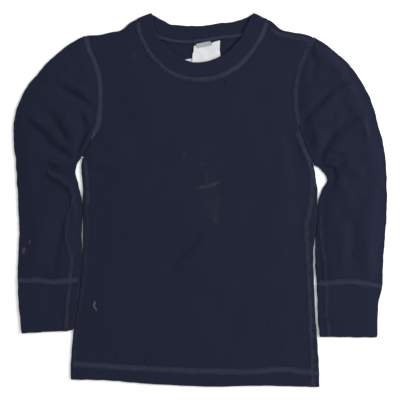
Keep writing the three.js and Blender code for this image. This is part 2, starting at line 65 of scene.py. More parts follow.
MM = 0.001
TINY = 1e-12  # keeps a division by a length of nought from failing
LAID_SHIFT = (-0.2013, -0.3514)  # from the garment's own middle lines to the frame's origin, in mm
BODY = "root"
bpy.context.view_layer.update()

# Walls and layers
CLOTH_WALL = 1.2
CUFF_WALL = 2.0
NECK_WALL = 2.2
SEAM_GAP = 0.3
TURN_RADIUS = 1.2
UNDER_LAYER = CLOTH_WALL / 2
UPPER_LAYER = UNDER_LAYER + 2 * TURN_RADIUS
EDGE_INSET = TURN_RADIUS + CLOTH_WALL / 2
NECK_TURN_RADIUS = 1.3
BAND_ARCH = 0.7  # how far the front of the neckband stands up in its middle
SHOULDER_TURN = 57  # degrees that a shoulder edge turns towards the other layer
MERGED_PER_MM = 1000  # points of a sheet closer than one part of this are one point
FOLD_FADE = 0.22  # share of a fold's length over which it fades at each end
THIN_LIP = 0.02  # share of half a wall at which a turned edge's quarter circle starts
CLOTH_LIP = 0.02  # distance from its fold at which the cloth of a turned edge starts
RIB_LIP = 0.03  # the same for doubled rib
BACK_SEAM_LEVEL = 2.15  # height of the back neck seam
UNDERSIDE_LEVEL = -0.65  # height of the underside's seams before they are mirrored in the floor

# Steps of the lines that seams follow
SEAM_STEPS = 200
ARMHOLE_STEPS = 160
NECK_SEAM_STEPS = 300
CUFF_SEAM_STEPS = 80
SHOULDER_SEAM_STEPS = 60


class Slot(Enum):
    """Material slots of the record."""

    KNIT = "navy_knit"
    RIB = "navy_rib"
    LABEL = "white_label"
    TAB = "grey_tab"


class ThreadTone(Enum):
    """How clearly a seam's threads show."""

    PLAIN = "plain"
    FAINT = "faint"
    SUNK = "sunk"


def smoothstep(value: np.ndarray, low: float, high: float) -> np.ndarray:
    """Soft step from 0 at low to 1 at high: 3 t squared less 2 t cubed."""
    t = np.clip((value - low) / (high - low), 0, 1)
    return t * t * (3 - 2 * t)


def smooth_curve(rows: list | tuple, count: int) -> np.ndarray:
    """Centripetal Catmull-Rom curve through the rows of a table.

    Each stretch is the cubic a + b t + c t squared + d t cubed whose end slopes come from its neighbours,
    with knots spaced by the square root of the distance between points.

    Args:
        rows: Places (x, y) that the curve passes through.
        count: Number of steps; each row-to-row stretch takes an equal share of them.

    Returns:
        Points of shape (count + 1, 2).
    """
    knots = np.asarray(rows, float)
    ends = (2 * knots[:1] - knots[1:2], 2 * knots[-1:] - knots[-2:-1])
    padded = np.concatenate([ends[0], knots, ends[1]])
    position = np.linspace(0, len(knots) - 1, count + 1)
    stretch = np.minimum(position.astype(int), len(knots) - 2)
    t = (position - stretch)[:, None]
    p0, p1, p2, p3 = (padded[stretch + n] for n in range(4))
    d0, d1, d2 = (np.sqrt(np.linalg.norm(end - start, axis=1))[:, None]
                  for start, end in ((p0, p1), (p1, p2), (p2, p3)))
    slope1 = ((p1 - p0) / d0 - (p2 - p0) / (d0 + d1) + (p2 - p1) / d1) * d1
    slope2 = ((p2 - p1) / d1 - (p3 - p1) / (d1 + d2) + (p3 - p2) / d2) * d1
    c = 3 * (p2 - p1) - 2 * slope1 - slope2
    d = 2 * (p1 - p2) + slope1 + slope2
    return p1 + slope1 * t + c * t**2 + d * t**3


def directions(line: np.ndarray) -> np.ndarray:
    """Unit directions along a line of points, from the neighbours on both sides."""
    along = np.gradient(line, axis=0)
    return along / np.maximum(np.linalg.norm(along, axis=1, keepdims=True), TINY)


def leftwards(line: np.ndarray) -> np.ndarray:
    """Unit directions to the left of a flat line of points: its own directions, a quarter turned."""
    along = directions(line)
    return np.stack([-along[:, 1], along[:, 0]], axis=1)


def shifted(line: np.ndarray, distance: float | np.ndarray) -> np.ndarray:
    """A flat line moved sideways, to the left of its direction where the distance is positive."""
    return line + leftwards(line) * np.asarray(distance).reshape(-1, 1)


@dataclass(frozen=True)
class Fold:
    """A ridge or trough laid in the cloth.

    Attributes:
        path: Places (x, y) that its line runs through.
        rise: Height of the ridge; a trough's is negative.
        left: Half width on the left of its direction.
        right: Half width on the right of it; a small one makes a sharp crease.
    """

    path: tuple
    rise: float
    left: float
    right: float

    def height(self, places: np.ndarray) -> np.ndarray:
        """Height at each place: rise times a bell of the distance over the half width, fading at both ends.

        Args:
            places: Array (..., 2) of x and y.

        Returns:
            Array (...) of heights.
        """
        best = np.full(places.shape[:-1], np.inf)
        side = np.zeros_like(best)
        along = np.zeros_like(best)
        points = np.asarray(self.path, float)
        lengths = np.linalg.norm(np.diff(points, axis=0), axis=1)
        passed = np.concatenate([[0], np.cumsum(lengths)])
        for n, length in enumerate(lengths):
            step = points[n + 1] - points[n]
            offset = places - points[n]
            t = np.clip((offset @ step) / length**2, 0, 1)
            gap = offset - t[..., None] * step
            distance = np.linalg.norm(gap, axis=-1)
            nearer = distance < best
            best = np.where(nearer, distance, best)
            side = np.where(nearer, step[0] * offset[..., 1] - step[1] * offset[..., 0], side)
            along = np.where(nearer, (passed[n] + t * length) / passed[-1], along)
        width = np.where(side > 0, self.left, self.right)
        fade = smoothstep(along, 0, FOLD_FADE) * smoothstep(1 - along, 0, FOLD_FADE)
        return self.rise * np.exp(-((best / width) ** 2)) * fade


@dataclass(frozen=True)
class Undulation:
    """The slight unevenness of cloth that lies loose: a seeded sum of long sine waves.

    Attributes:
        height: Height of the unevenness.
        shortest: Length of the shortest wave.
        longest: Length of the longest wave.
        seed: Seed of the waves' lengths, directions and phases.
        waves: Number of waves.
    """

    height: float
    shortest: float
    longest: float
    seed: int
    waves: int = 14

    def at(self, places: np.ndarray) -> np.ndarray:
        """Sum of sine waves of x and y, each with its own length, direction and phase.

        Args:
            places: Array (..., 2) of x and y.

        Returns:
            Array (...) of heights.
        """
        draw = np.random.default_rng(self.seed)
        lengths = draw.uniform(self.shortest, self.longest, self.waves)
        angles = draw.uniform(0, math.pi, self.waves)
        phases = draw.uniform(0, 2 * math.pi, self.waves)
        fronts = places[..., 0, None] * np.cos(angles) + places[..., 1, None] * np.sin(angles)
        waves = np.sin(2 * math.pi * fronts / lengths + phases)
        return self.height * waves.sum(axis=-1) / math.sqrt(self.waves)


SIDEWAYS_WAVES = (Undulation(0.3, 8, 34, seed=71), Undulation(0.3, 8, 34, seed=72))


def waved(places: np.ndarray) -> np.ndarray:
    """Points moved a little along x and y, all pieces alike, so that no edge or seam lies quite straight.

    Args:
        places: Points of shape (n, 3).

    Returns:
        The moved points.
    """
    sideways = np.stack([wave.at(places[:, :2]) for wave in SIDEWAYS_WAVES], axis=1)
    return np.concatenate([places[:, :2] + sideways, places[:, 2:]], axis=1)


@dataclass
class Wall:
    """A wall of cloth round a grid of points on its middle surface.

    Attributes:
        points: Middle surface, shape (rows, columns, 3), in mm.
        pattern: Place on the knitted cloth of each point, shape (rows, columns, 2), in mm.
        cells: Which cells of the grid are cloth, shape (rows - 1, columns - 1).
        thickness: Thickness of the wall, or an array (rows, columns) of it.
    """

    points: np.ndarray
    pattern: np.ndarray
    cells: np.ndarray
    thickness: float | np.ndarray

    def solid(self) -> "Solid":
        """The closed mesh: both sides of the sheet, half a thickness out, and a strip on each open edge.

        Returns:
            The closed mesh.
        """
        rows, columns = self.points.shape[:2]
        places = self.points.reshape(-1, 3)
        _, first, merged = np.unique(np.round(places * MERGED_PER_MM).astype(np.int64), axis=0,
                                     return_index=True, return_inverse=True)
        merged = merged.reshape(-1)
        grid = np.arange(rows * columns).reshape(rows, columns)
        a, b = grid[:-1, :-1][self.cells], grid[:-1, 1:][self.cells]
        c, d = grid[1:, 1:][self.cells], grid[1:, :-1][self.cells]
        corners = np.concatenate([np.stack([a, b, c], 1), np.stack([a, c, d], 1)])
        faces = merged[corners]
        whole = (faces[:, 0] != faces[:, 1]) & (faces[:, 1] != faces[:, 2]) & (faces[:, 2] != faces[:, 0])
        corners, faces = corners[whole], faces[whole]
        used, compact = np.unique(faces, return_inverse=True)
        faces = compact.reshape(faces.shape)
        middle = places[first[used]]
        thickness = np.broadcast_to(np.asarray(self.thickness, float), (rows, columns))
        half = thickness.reshape(-1)[first[used]] / 2
        normals = vertex_normals(middle, faces)
        outer = middle + normals * half[:, None]
        inner = middle - normals * half[:, None]
        count = len(middle)
        edges = np.concatenate([faces[:, [0, 1]], faces[:, [1, 2]], faces[:, [2, 0]]])
        edge_corners = np.concatenate([corners[:, [0, 1]], corners[:, [1, 2]], corners[:, [2, 0]]])
        is_open = ~np.isin(edges[:, 0] * count + edges[:, 1], edges[:, 1] * count + edges[:, 0])
        start, end = edges[is_open].T
        start_corner, end_corner = edge_corners[is_open].T
        strips = np.concatenate([
            np.stack([end, start, count + start], 1),
            np.stack([end, count + start, count + end], 1),
        ])
        strip_corners = np.concatenate([
            np.stack([end_corner, start_corner, start_corner], 1),
            np.stack([end_corner, start_corner, end_corner], 1),
        ])
        triangles = np.concatenate([faces, faces[:, ::-1] + count, strips])
        pattern = self.pattern.reshape(-1, 2)[np.concatenate([corners, corners[:, ::-1], strip_corners])]
        return Solid(np.concatenate([outer, inner]), triangles, pattern)

    def tops(self) -> np.ndarray:
        """Places half a thickness above the middle surface, three times as many along rows and columns.

        Returns:
            Points of shape (n, 3), over the cells that are cloth.
        """
        lift = np.broadcast_to(np.asarray(self.thickness, float), self.points.shape[:2]) / 2
        fine = np.concatenate([self.points[..., :2], (self.points[..., 2] + lift)[..., None]], axis=-1)
        for axis in (0, 1):
            step = np.diff(fine, axis=axis)
            start = np.take(fine, range(fine.shape[axis] - 1), axis=axis)
            thirds = np.stack([start, start + step / 3, start + step * 2 / 3], axis=axis + 1)
            shape = list(start.shape)
            shape[axis] *= 3
            fine = thirds.reshape(shape)
        return fine[np.repeat(np.repeat(self.cells, 3, axis=0), 3, axis=1)]


def vertex_normals(places: np.ndarray, faces: np.ndarray) -> np.ndarray:
    """Unit normals at vertices: the sum of the cross products of the faces that meet there.

    Args:
        places: Points of shape (n, 3).
        faces: Point numbers of shape (m, 3).

    Returns:
        Normals of shape (n, 3).
    """
    a, b, c = (places[faces[:, n]] for n in range(3))
    facing = np.cross(b - a, c - a)
    sums = np.zeros_like(places)
    for corner in range(3):
        for axis in range(3):
            sums[:, axis] += np.bincount(faces[:, corner], facing[:, axis], len(places))
    return sums / np.maximum(np.linalg.norm(sums, axis=1, keepdims=True), TINY)


@dataclass
class Solid:
    """A closed mesh.

    Attributes:
        places: Points of shape (n, 3) in the garment's own mm.
        triangles: Point numbers of shape (m, 3), anticlockwise from outside.
        pattern: Place on the cloth of each triangle's corners, shape (m, 3, 2), in mm.
    """

    places: np.ndarray
    triangles: np.ndarray
    pattern: np.ndarray

    @staticmethod
    def joined(solids: list) -> "Solid":
        """Several solids as one, their point numbers moved on by the points before them.

        Args:
            solids: The solids.

        Returns:
            The joined solid.
        """
        starts = np.cumsum([0] + [len(solid.places) for solid in solids[:-1]])
        triangles = [solid.triangles + start for solid, start in zip(solids, starts)]
        return Solid(places=np.concatenate([solid.places for solid in solids]),
                     triangles=np.concatenate(triangles),
                     pattern=np.concatenate([solid.pattern for solid in solids]))

    def flipped(self) -> "Solid":
        """The same solid mirrored in the floor, with its faces still outwards."""
        return Solid(self.places * (1, 1, -1), self.triangles[:, ::-1], self.pattern[:, ::-1])

    def build(self, name: str) -> bpy.types.Object:
        """Puts the solid, in metres, into a new smooth object at the origin, with the pattern as its UV map.

        Args:
            name: Name of the object and its mesh.

        Returns:
            The object, linked to the scene.
        """
        mesh = bpy.data.meshes.new(name)
        mesh.vertices.add(len(self.places))
        metres = (waved(self.places) + np.array([*LAID_SHIFT, 0.0])) * MM
        mesh.vertices.foreach_set("co", metres.astype(np.float32).reshape(-1))
        mesh.loops.add(self.triangles.size)
        mesh.loops.foreach_set("vertex_index", self.triangles.astype(np.int32).reshape(-1))
        mesh.polygons.add(len(self.triangles))
        mesh.polygons.foreach_set("loop_start", np.arange(0, self.triangles.size, 3, dtype=np.int32))
        mesh.polygons.foreach_set("use_smooth", np.ones(len(self.triangles), dtype=bool))
        mesh.update(calc_edges=True)
        layer = mesh.uv_layers.new(name="cloth")
        layer.data.foreach_set("uv", (self.pattern * MM).astype(np.float32).reshape(-1))
        mesh.validate()
        piece = bpy.data.objects.new(name, mesh)
        bpy.context.scene.collection.objects.link(piece)
        return piece


class HeightMap:
    """Height of the topmost cloth on a square raster, so that seams and marks can lie on it."""

    def __init__(self, cell: float = 1.0, reach: float = 250.0) -> None:
        """Starts an empty raster.

        Args:
            cell: Size of a cell in mm.
            reach: How far the raster goes to each side of the middle, in mm.
        """
        self.cell = cell
        self.reach = reach
        count = int(2 * reach / cell) + 1
        self.heights = np.zeros((count, count))

    def add(self, wall: Wall) -> None:
        """Raises each cell to the highest point of the wall over it.

        Args:
            wall: The wall of cloth.
        """
        tops = wall.tops()
        spots = np.round((tops[:, :2] + self.reach) / self.cell).astype(int)
        np.maximum.at(self.heights, (spots[:, 1], spots[:, 0]), tops[:, 2])

    def soften(self, rounds: int = 2) -> None:
        """Sets each cell to the mean of the covered ones in its block of nine, if more than two are covered.

        Args:
            rounds: How many times.
        """
        for _ in range(rounds):
            covered = self.heights > 0
            total = np.zeros_like(self.heights)
            count = np.zeros_like(self.heights)
            for rows in (-1, 0, 1):
                for columns in (-1, 0, 1):
                    total += np.roll(self.heights, (rows, columns), axis=(0, 1))
                    count += np.roll(covered, (rows, columns), axis=(0, 1))
            self.heights = np.where(count > 2, total / np.maximum(count, 1), 0)

    def at(self, spots: np.ndarray) -> np.ndarray:
        """Height at each spot, weighted between the four nearest cells by the distance along each axis.

        Args:
            spots: Array (..., 2) of x and y.

        Returns:
            Array (...) of heights.
        """
        place = (spots + self.reach) / self.cell
        low = np.floor(place).astype(int)
        share = place - low
        x, y = low[..., 0], low[..., 1]
        near = self.heights[y, x] * (1 - share[..., 0]) + self.heights[y, x + 1] * share[..., 0]
        far = self.heights[y + 1, x] * (1 - share[..., 0]) + self.heights[y + 1, x + 1] * share[..., 0]
        return near * (1 - share[..., 1]) + far * share[..., 1]


def rounded(distance: np.ndarray, wall: float) -> np.ndarray:
    """Thickness near a turned edge: a quarter circle that grows from a lip to the wall, half a wall in."""
    t = np.clip(distance / (wall / 2), THIN_LIP, 1)
    return wall * np.sqrt(1 - (1 - t) ** 2)


def edge_distance(grid: np.ndarray, outline: np.ndarray) -> np.ndarray:
    """Distance of each grid point from the nearest point of an outline."""
    gaps = np.hypot(grid[..., 0, None] - outline[:, 0], grid[..., 1, None] - outline[:, 1])
    return gaps.min(axis=-1)


def soft_floor(height: np.ndarray, softness: float = 0.35) -> np.ndarray:
    """Height kept above zero without a sharp bend: softness times ln(1 + e to height over softness)."""
    return softness * np.logaddexp(0, height / softness)


@dataclass(frozen=True)
class Relief:
    """How an upper layer stands off the layer under it: a crown, folds and a slight unevenness.

    Attributes:
        crown: Height of the crown.
        crown_reach: Distance from the edge to the full crown.
        folds: Folds laid in the layer.
        uneven: Its unevenness.
        held_reach: Distance from the edge over which the edge holds the layer down.
        lip_reach: Distance over which the layer comes down to its own flat height at the edge.
    """

    crown: float
    crown_reach: float
    folds: tuple
    uneven: Undulation
    held_reach: float = 9.0
    lip_reach: float = 4.0

    def height(self, places: np.ndarray, distance: np.ndarray) -> np.ndarray:
        """Crown and folds over the places, both dying out towards the edge.

        Args:
            places: Array (..., 2) of x and y.
            distance: Distance of each place from the edge of the piece.

        Returns:
            Height above the flat layer.
        """
        folds = sum(fold.height(places) for fold in self.folds) + self.uneven.at(places)
        crown = self.crown * smoothstep(distance, 0, self.crown_reach)
        held = smoothstep(distance, 0, self.held_reach)
        flat = soft_floor(np.zeros(1))[0]
        return (soft_floor(crown + folds) - flat * (1 - smoothstep(distance, 0, self.lip_reach))) * held


@dataclass(frozen=True)
class SideEdge:
    """One side of the body. Rows of y, outline x and side seam x, from the hem up; sign is 1 at low x."""

    rows: tuple
    sign: int

    def outline(self, count: int) -> np.ndarray:
        """Outline from the hem to the underarm."""
        return smooth_curve([(edge, y) for y, edge, _ in self.rows], count)

    def seam(self, count: int) -> np.ndarray:
        """Side seam, which lies on the front, from the hem to the underarm."""
        return smooth_curve([(seam, y) for y, _, seam in self.rows], count)


@dataclass(frozen=True)
class SleeveCut:
    """Sections across a sleeve, from the shoulder: rows of outline x and y, then inner edge x and y."""

    cap: tuple
    tube: tuple
    cuff: tuple

    def armhole(self, count: int) -> np.ndarray:
        """Armhole seam line, from the shoulder to the underarm."""
        return smooth_curve([row[2:] for row in self.cap], count)

    @staticmethod
    def sections(rows: tuple, count: int) -> tuple[np.ndarray, np.ndarray]:
        """Outline and inner line through the rows of one part of the sleeve."""
        outline, inner = ([row[part] for row in rows] for part in (slice(0, 2), slice(2, 4)))
        return smooth_curve(outline, count), smooth_curve(inner, count)


RIGHT_SIDE = SideEdge(rows=(
    (-224.4, -162.0, -158.0), (-190, -160.8, -156.8), (-150, -156.5, -152.4), (-107, -150.2, -146.2),
    (-64, -147.0, -142.6), (-35, -146.4, -140.8), (-5, -147.2, -141.2), (18, -146.4, -140.8),
    (36, -148.8, -142.6), (52.5, -147.0, -143.4)), sign=1)
LEFT_SIDE = SideEdge(rows=(
    (-233.8, 150.0, 140.8), (-195, 148.2, 140.6), (-150, 144.8, 138.4), (-105, 142.9, 136.6),
    (-62, 142.0, 134.2), (-38, 145.4, 132.4), (-14, 147.0, 136.4), (8, 147.2, 139.4),
    (25, 145.4, 140.4), (43.5, 141.0, 137.2)), sign=-1)
RIGHT_SLEEVE = SleeveCut(
    cap=((-144.0, 205.8, -143.2, 204.2), (-159.5, 197.6, -138.5, 188), (-176, 185.5, -131.5, 171),
         (-191, 171.6, -126.5, 154), (-205, 156, -125, 135), (-217.5, 139.4, -125.2, 114),
         (-226.6, 122, -127.4, 94), (-231.8, 105, -136.2, 75), (-233.6, 86, -148.4, 53)),
    tube=((-233.6, 86, -148.4, 53), (-232.9, 69, -153.8, 45), (-231, 52, -155.6, 36),
          (-229.5, 32, -152.6, 20), (-228, 8, -149.0, 4), (-227, -16, -147.6, -13),
          (-226.3, -45, -148.4, -42), (-227.7, -74, -148.1, -72), (-228.4, -100, -149.9, -99.4)),
    cuff=((-228.2, -100.6, -149.95, -100.0), (-227, -132, -154.35, -132), (-223.2, -167, -158.7, -163)))
LEFT_SLEEVE = SleeveCut(
    cap=((142.2, 203.9, 141.4, 202.3), (157, 195, 134.5, 189.5), (173, 181.8, 127.5, 174),
         (187.5, 168.5, 122, 157), (199, 153, 119, 138), (209, 136, 119.4, 117), (216.5, 118, 122.6, 97),
         (221.6, 100, 129.8, 75), (226, 83.5, 142.2, 44.4)),
    tube=((226, 83.5, 142.2, 44.4), (230, 67, 149, 40.4), (232.3, 50, 156, 32.6), (233.4, 35, 159.4, 24.6),
          (234, 14, 153.2, 13.6), (233.9, -12, 148.0, -8), (232.6, -34, 146.7, -33), (231.4, -52, 144.9, -50),
          (229.2, -82, 144.8, -80), (228.8, -108, 146.6, -104.6)),
    cuff=((228.6, -108.6, 146.6, -105.2), (224.2, -125, 147.4, -126), (222.4, -148, 148, -150),
          (222, -171.6, 150, -170.8)))
HEM = ((-158, -224.2), (-118, -225.0), (-60, -229.6), (15, -232.9), (75, -231.6), (141, -233.4))
RIGHT_SHOULDER = ((-142.6, 206.0), (-127, 206.8), (-110, 210.4), (-98, 212.8), (-88, 221.5), (-80.4, 225.2))
LEFT_SHOULDER = ((140.8, 204.2), (127, 208.2), (112, 210.8), (102, 213.4), (93, 221.0), (85.4, 225.6))
FRONT_NECK_SEAM = ((-78.8, 224), (-75.6, 208), (-69.8, 194.6), (-61, 180.6), (-50, 168.6), (-36.5, 158.4),
                   (-19.5, 152.2), (-1.3, 150.2), (16.5, 152), (33.5, 158.4), (48.5, 168.4), (61, 181),
                   (71, 194.6), (78.6, 209), (83.8, 224))
FRONT_NECK_EDGE = ((-60, 232.4), (-57.8, 217.6), (-53.2, 205.6), (-46.4, 196.2), (-37.6, 187.2),
                   (-27.6, 179.6), (-14.5, 173.6), (-1.5, 171.9), (12, 174.2), (24.5, 178.9),
                   (35.5, 185.8), (44, 194.4), (51.4, 204), (57.6, 217.4), (65.2, 232.4))
BACK_NECK_SEAM = ((-78.8, 224.0), (-64, 211.5), (-48, 202.4), (-26, 198.2), (-4, 198.6), (24, 203.2),
                  (46, 205.4), (67, 212.0), (83.8, 224.0))
BACK_NECK_EDGE = ((-60, 232.4), (-48, 225.6), (-36, 220.0), (-18, 218.4), (2, 218.0), (24, 221.4),
                  (43, 223.6), (55, 227.0), (65.2, 232.4))
LEFT_SIDE_LINE = ((120.4, 84), (125, 73.8), (132.0, 56.6), (137.0, 46.4), (140.4, 25), (139.0, 4),
                  (136.6, -12), (132.8, -26), (132.2, -40), (134.3, -62.5), (136.4, -94), (137.5, -125),
                  (138.8, -156), (140.6, -187.5), (141.2, -218.8), (140.8, -232.2))
LEFT_SHOULDER_LINE = ((88, 212.6), (97, 207.6), (110, 204.2), (124, 201.6), (137, 198.6))
RIGHT_UNDERARM = ((-157.5, 6), (-161.5, -10), (-165.5, -24), (-167.6, -38), (-167.2, -48), (-163.5, -62),
                  (-160, -74), (-161.6, -84), (-162.6, -99), (-164.6, -121), (-166.4, -142), (-168, -164))
LEFT_UNDERARM = ((150.6, -15.6), (150.2, -37.5), (151.3, -51), (155, -75), (156.3, -97), (157.5, -109),
                 (157.5, -140.6), (161.3, -169.5))
RIGHT_CUFF_SEAM = ((-152.4, -99.6), (-166, -100.6), (-180, -102.4), (-200, -100.6), (-227.4, -100.2))
LEFT_CUFF_SEAM = ((147.6, -105), (172, -102.8), (194, -102.6), (209, -105), (228.0, -108.2))
HEM_STITCH = ((-159, -204.7), (-119, -207), (-94, -209.4), (-47, -211.3), (0, -213.8), (78, -213.8),
              (94, -211.3), (125, -213.8), (148.2, -216.3))

RIGHT_SLEEVE_FOLDS = (
    Fold(((-180, 140), (-172, 138), (-158, 132.5), (-146, 125), (-136, 116), (-129, 107)), -4.6, 3.3, 5),
    Fold(((-182, 151), (-173, 149), (-158, 142), (-145, 134), (-136, 128)), 1.6, 5, 4),
    Fold(((-152, 116), (-142, 114), (-126, 112)), -1.6, 7, 7),
    Fold(((-122, 118), (-127, 104), (-132, 91), (-140, 78), (-148, 62), (-152, 54)), 3.2, 3, 3),
    Fold(((-152, 112), (-146, 100), (-143, 88), (-148, 72), (-154, 58), (-156, 50)), -5.5, 3.5, 4.5),
    Fold(((-172, 118), (-168, 104), (-162, 86), (-154, 66), (-152, 52)), 2.4, 9, 8),
    Fold(((-194, 114), (-188, 108), (-177, 91), (-167, 73), (-163, 66)), -3.2, 6, 4.5),
    Fold(((-224, 112), (-213, 107), (-195, 93), (-177, 78), (-160, 62), (-154, 56)), 1.8, 5.5, 5.5),
    Fold(((-222, 101), (-212, 96), (-196, 84), (-186, 70), (-182, 60)), -3.4, 3.5, 6),
    Fold(((-194, 70), (-188, 67), (-177, 63.5), (-165, 55), (-160, 50)), -5.0, 3.5, 4.5),
    Fold(((-152, 50), (-157, 49), (-171, 44.8), (-184, 46.5), (-190, 40), (-187, 31), (-173, 24), (-163, 16),
          (-158.6, 4), (-157.6, -16), (-159, -34)), 3.4, 2.6, 2.6),
    Fold(((-196, 40), (-186, 39.6), (-173, 37), (-158, 33), (-148, 30)), -8.0, 4.6, 4.6),
    Fold(((-192, 28), (-187, 25), (-177, 17.6), (-169, 14), (-162, 10)), -2.0, 4, 6),
    Fold(((-232, 130), (-226, 112), (-229, 88)), 1.2, 9, 9),
    Fold(((-214, 66), (-210, 40), (-214, 12)), 1.2, 12, 12),
    Fold(((-198, 54), (-202, 32), (-196, 8)), -1.2, 10, 10),
    Fold(((-171, -18), (-174.5, -40), (-178, -58), (-181, -80), (-183, -96)), -2.8, 4.5, 6),
    Fold(((-190, -14), (-200, -52), (-204, -90)), 1.6, 9, 9),
    Fold(((-214, -30), (-216, -84)), -1.0, 8, 8),
    Fold(((-158, 172), (-176, 158), (-196, 148)), 1.2, 9, 9),
    Fold(((-146, 182), (-150, 158)), -1.0, 8, 8),
)
LEFT_SLEEVE_FOLDS = (
    Fold(((192, 147), (180, 145), (165, 138), (152, 125), (135, 108), (122, 97), (108, 84)), -4.6, 5, 3.6),
    Fold(((204, 134), (188, 136), (170, 130), (151, 112), (136, 99), (126, 90)), 1.7, 7, 7),
    Fold(((206, 108), (201, 104), (185, 96.5), (169, 85.5), (158, 69), (150, 54), (141, 34)), -5.0, 4, 4.5),
    Fold(((190, 116), (176, 108), (160, 104)), -1.6, 8, 8),
    Fold(((212, 104), (200, 92), (182, 78), (168, 62), (160, 50)), 1.5, 8, 8),
    Fold(((142, 92), (147, 80), (146, 66)), 1.8, 5, 5),
    Fold(((124, 92), (128, 80), (133, 70), (140, 54), (146, 42)), -4.4, 3.2, 3.2),
    Fold(((144, 39.5), (154, 39), (163, 36), (164, 28), (160, 20)), -7.5, 4.4, 4.4),
    Fold(((145, 44), (150, 44), (158, 43.8), (168, 44), (174, 44)), 2.4, 2.2, 2.2),
    Fold(((162, 61.6), (171, 61.4), (180, 61.2)), 1.2, 2, 2),
    Fold(((162, 57.8), (171, 57.8), (180, 57.6)), -1.6, 2, 2),
    Fold(((178, 46), (194, 36), (206, 30)), 1.6, 7, 7),
    Fold(((164, 28), (176, 18), (190, 0)), 1.6, 7, 7),
    Fold(((203, 104), (205, 97), (208, 82), (208, 74)), 1.8, 2.5, 3.5),
    Fold(((180, -24), (178, -60), (176, -100)), 1.6, 8, 9),
    Fold(((205, -10), (208, -50), (207, -96)), 1.4, 8, 7),
    Fold(((192, -20), (191, -50), (190, -84)), -1.4, 6, 6),
    Fold(((132, 190), (144, 174), (141, 158), (134, 146)), -2.2, 5, 5),
    Fold(((152, 188), (168, 170), (184, 154)), 1.2, 8, 8),
    Fold(((222, 70), (224, 40), (222, 10)), 1.0, 9, 9),
)
BODY_FOLDS = (
    Fold(((-144, 46), (-138, 48), (-124, 46), (-106, 42), (-94, 44)), 1.6, 7, 6),
    Fold(((-130, 42), (-130, 34), (-129, 20), (-131, 4), (-133, -12)), -2.2, 8, 5),
    Fold(((-128, -20), (-131, -60), (-138, -110)), -0.9, 6, 7),
    Fold(((-132, 84), (-126, 82), (-112, 75), (-90, 68), (-80, 66)), 1.2, 8, 8),
    Fold(((113, 104), (111, 88), (113, 74), (117, 64), (122, 42), (125, 14), (126, -19), (127, -44)),
         -2.6, 4, 7),
    Fold(((122, 92), (123, 82), (127, 70), (133, 54), (137, 40), (139, 16), (136, -6), (131, -34)),
         2.2, 4, 4),
    Fold(((84, 190), (100, 184), (124, 174)), -1.9, 7, 9),
    Fold(((86, 206), (96, 204), (112, 201), (134, 196), (140, 194)), 1.9, 4, 5),
    Fold(((112, 184), (116, 178), (122, 168), (122, 158)), -1.6, 5, 5),
    Fold(((8, -36), (3, -42), (-14, -58), (-36, -82), (-42, -90)), -2.1, 4, 5),
    Fold(((12, -44), (4, -56), (-16, -76), (-32, -92)), 0.9, 5, 6),
    Fold(((-96, 196), (-84, 168)), 0.9, 9, 12),
    Fold(((-104, 150), (-100, 116)), -0.8, 9, 9),
    Fold(((96, -150), (104, -214)), 0.7, 12, 12),
    Fold(((-40, -160), (-46, -205)), 0.6, 12, 12),
    Fold(((60, 120), (66, 40)), 0.6, 14, 14),
    Fold(((-70, 30), (-60, -40)), 0.5, 14, 14),
)


